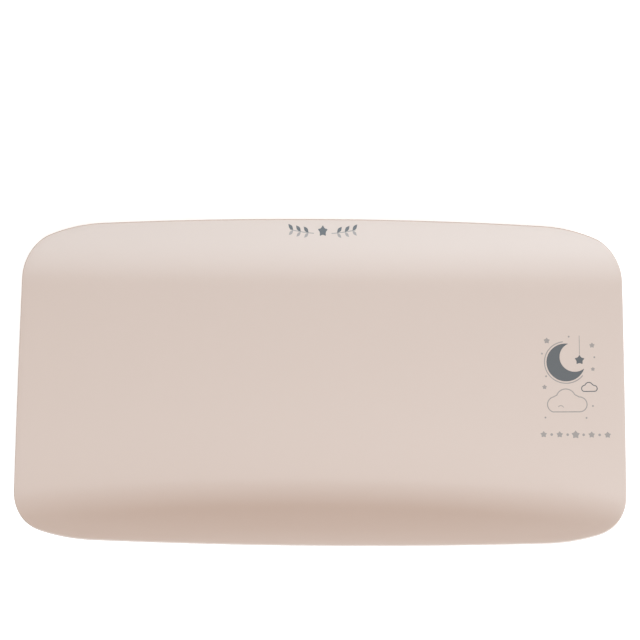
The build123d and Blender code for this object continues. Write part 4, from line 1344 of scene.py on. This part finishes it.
class SCALE_OT_workings(ScaleOperator, bpy.types.Operator):
    """Finish the board, the load cells, the screws and the leads inside the base"""

    bl_idname = "scale.workings"
    bl_label = "Workings"

    def execute(self, context):
        dress(("main_board",), board_laminate("board laminate"))
        dress(("load_cell_plugs", "battery_plug"), moulded("plug nylon", (0.78, 0.76, 0.68), 0.42))
        ground = metal("ground steel", (0.56, 0.56, 0.55), 0.36, stretch=(1, 30, 1))
        dress(at_corners("load_cell"), ground)
        dress(("strain_gauges",), rubber("gauge coating", (0.74, 0.74, 0.70)))
        screws = metal("plated screws", (0.60, 0.59, 0.57), 0.28)
        dress(("cover_screws", "holder_screws", "board_screws"), screws)
        dress(at_corners("lead"), insulation("grey lead", (0.26, 0.27, 0.28)))
        dress(("battery_lead_positive",), insulation("red lead", (0.45, 0.008, 0.006)))
        dress(("battery_lead_negative",), insulation("black lead", (0.012, 0.012, 0.012)))
        return {"FINISHED"}


class SCALE_OT_studio(ScaleOperator, bpy.types.Operator):
    """Set up the floor, the soft lights and the camera"""

    bl_idname = "scale.studio"
    bl_label = "Studio"

    # The floor: half its side in metres, its paint, and the glow that only the camera sees, which is
    # weaker near the object and full from further out.
    floor_half = 6.0
    floor_paint = (0.82, 0.82, 0.82, 1)
    glow_tone = (0.95, 0.99, 1.0, 1)
    glow_reach = {"From Min": 0.35, "From Max": 1.1, "To Min": 0.62, "To Max": 1.0}

    # The light from all round, in front and behind.
    front_tone = (0.394, 0.409, 0.411, 1)
    rear_tone = (1.000, 0.727, 0.570, 1)
    tone_reach = {"From Min": -0.9, "From Max": 0.9}

    # Each light's name, the property with its power, its place, its width and height, and its colour.
    lights = (
        ("key light", "key_power", (1.2, -2.048, 1.434), (1.8, 1.8), (0.766, 0.897, 1.0)),
        ("top light", "top_power", (0.0, -0.773, 2.378), (1.8, 1.8), (0.943, 0.975, 1.0)),
        ("low rear light", "rear_power", (0.0, 1.7, 0.034), (2.8, 0.06), (0.65, 0.87, 1.0)),
    )
    lights_aim = Vector((0, 0, 0.05))

    def floor(self):
        """A pale floor that the camera sees as white, with the shadow left on it."""
        half = self.floor_half
        corners = [(*corner, 0) for corner in rectangle(-half, -half, half, half)]
        floor = new_object("studio_floor", plain_mesh("studio_floor", corners, faces=[(0, 1, 2, 3)]))
        material = bpy.data.materials.new("pale floor")
        material.use_nodes = True
        look = Nodes(material.node_tree)
        look.tree.nodes.remove(look.tree.nodes["Principled BSDF"])
        paint = look.result("ShaderNodeBsdfDiffuse", {"Color": self.floor_paint})
        place = look.node("ShaderNodeTexCoord").outputs["Object"]
        away = look.node("ShaderNodeVectorMath", {0: place}, operation="LENGTH").outputs["Value"]
        strength = look.result("ShaderNodeMapRange", {"Value": away, **self.glow_reach})
        glow = look.result("ShaderNodeEmission", {"Color": self.glow_tone, "Strength": strength})
        lit = look.result("ShaderNodeAddShader", {0: paint, 1: glow})
        self.show(look, paint, lit, "Material Output")
        floor.data.materials.append(material)

    def show(self, look, real, seen, output):
        """End a tree with two shaders: what lights the object, and what is seen.

        Seen means by the camera, also in a mirror or through glass.
        """
        rays = look.node("ShaderNodeLightPath").outputs
        direct = rays["Is Camera Ray"]
        for kind in ("Is Glossy Ray", "Is Transmission Ray"):
            direct = look.math("MAXIMUM", direct, rays[kind])
        choice = look.result("ShaderNodeMixShader", {0: direct, 1: real, 2: seen})
        look.link(choice, look.tree.nodes[output].inputs["Surface"])

    def surround(self, strength):
        """Light from all round: slightly cool in front, warm behind, and white to the camera."""
        world = bpy.data.worlds.new("studio surround")
        bpy.context.scene.world = world
        world.use_nodes = True
        look = Nodes(world.node_tree)
        way = look.node("ShaderNodeTexCoord").outputs["Generated"]
        rearward = look.node("ShaderNodeSeparateXYZ", {0: way}).outputs[1]
        share = look.result("ShaderNodeMapRange", {"Value": rearward, **self.tone_reach})
        tint = look.node("ShaderNodeValToRGB", {0: share})
        for end, tone in zip(tint.color_ramp.elements, (self.front_tone, self.rear_tone)):
            end.color = tone
        soft = look.result("ShaderNodeBackground", {"Color": tint.outputs[0], "Strength": strength})
        plain = look.result("ShaderNodeBackground", {"Color": (1, 1, 1, 1)})
        self.show(look, soft, plain, "World Output")

    def light(self, name, watts, place, size, tone):
        """A large light that faces the tray."""
        data = bpy.data.lights.new(name, "AREA")
        data.shape = "RECTANGLE"
        data.size, data.size_y = size
        data.energy = watts
        data.color = tone
        lamp = new_object(name, data)
        lamp.location = place
        lamp.rotation_euler = (self.lights_aim - Vector(place)).to_track_quat("-Z", "Y").to_euler()

    def camera(self, studio, floor_height):
        """A long lens high above the front of the tray."""
        data = bpy.data.cameras.new("camera")
        data.lens = studio.lens
        data.sensor_width = 36
        data.clip_end = 50
        camera = new_object("camera", data)
        level = cos(studio.elevation) * studio.distance
        height = sin(studio.elevation) * studio.distance + floor_height
        camera.location = (level * sin(studio.azimuth), -level * cos(studio.azimuth), height)
        aim = Vector((studio.aim_x, studio.aim_y, floor_height))
        turn = (aim - camera.location).to_track_quat("-Z", "Y")
        camera.rotation_mode = "QUATERNION"
        camera.rotation_quaternion = turn @ Quaternion((0, 0, 1), studio.roll)
        bpy.context.scene.camera = camera

    def execute(self, context):
        studio = context.scene.scale_studio
        self.floor()
        self.surround(studio.sky)
        for name, watts, place, size, tone in self.lights:
            self.light(name, getattr(studio, watts), place, size, tone)
        self.camera(studio, context.scene.scale_tray.floor_height)
        context.scene.view_settings.view_transform = "Standard"
        return {"FINISHED"}


OPERATORS = (
    SCALE_OT_weighing_tray,
    SCALE_OT_tray_prints,
    SCALE_OT_housing,
    SCALE_OT_console,
    SCALE_OT_battery_bay,
    SCALE_OT_workings,
    SCALE_OT_studio,
)
GROUPS = {
    "scale_tray": TrayShape,
    "scale_finishes": Finishes,
    "scale_prints": Prints,
    "scale_studio": Studio,
}


class SCALE_PT_panel(bpy.types.Panel):
    """The scale's sizes, colours and steps"""

    bl_idname = "SCALE_PT_panel"
    bl_label = "Weighing Scale"
    bl_space_type = "VIEW_3D"
    bl_region_type = "UI"
    bl_category = "Weighing Scale"

    def draw(self, context):
        layout = self.layout
        for operator in OPERATORS:
            layout.operator(operator.bl_idname)
        for name, group in GROUPS.items():
            rows = layout.box()
            for prop in group.__annotations__:
                rows.prop(getattr(context.scene, name), prop)


def register():
    """Register the groups, the operators and the panel."""
    for name, group in GROUPS.items():
        bpy.utils.register_class(group)
        setattr(bpy.types.Scene, name, PointerProperty(type=group))
    for item in (*OPERATORS, SCALE_PT_panel):
        bpy.utils.register_class(item)


def unregister():
    """Take back what register added."""
    for item in (SCALE_PT_panel, *reversed(OPERATORS)):
        bpy.utils.unregister_class(item)
    for name, group in GROUPS.items():
        delattr(bpy.types.Scene, name)
        bpy.utils.unregister_class(group)


def main():
    """Run every step in order."""
    register()
    for operator in OPERATORS:
        step = operator.bl_idname.split(".")[1]
        getattr(bpy.ops.scale, step)()


if __name__ == "__main__":
    main()
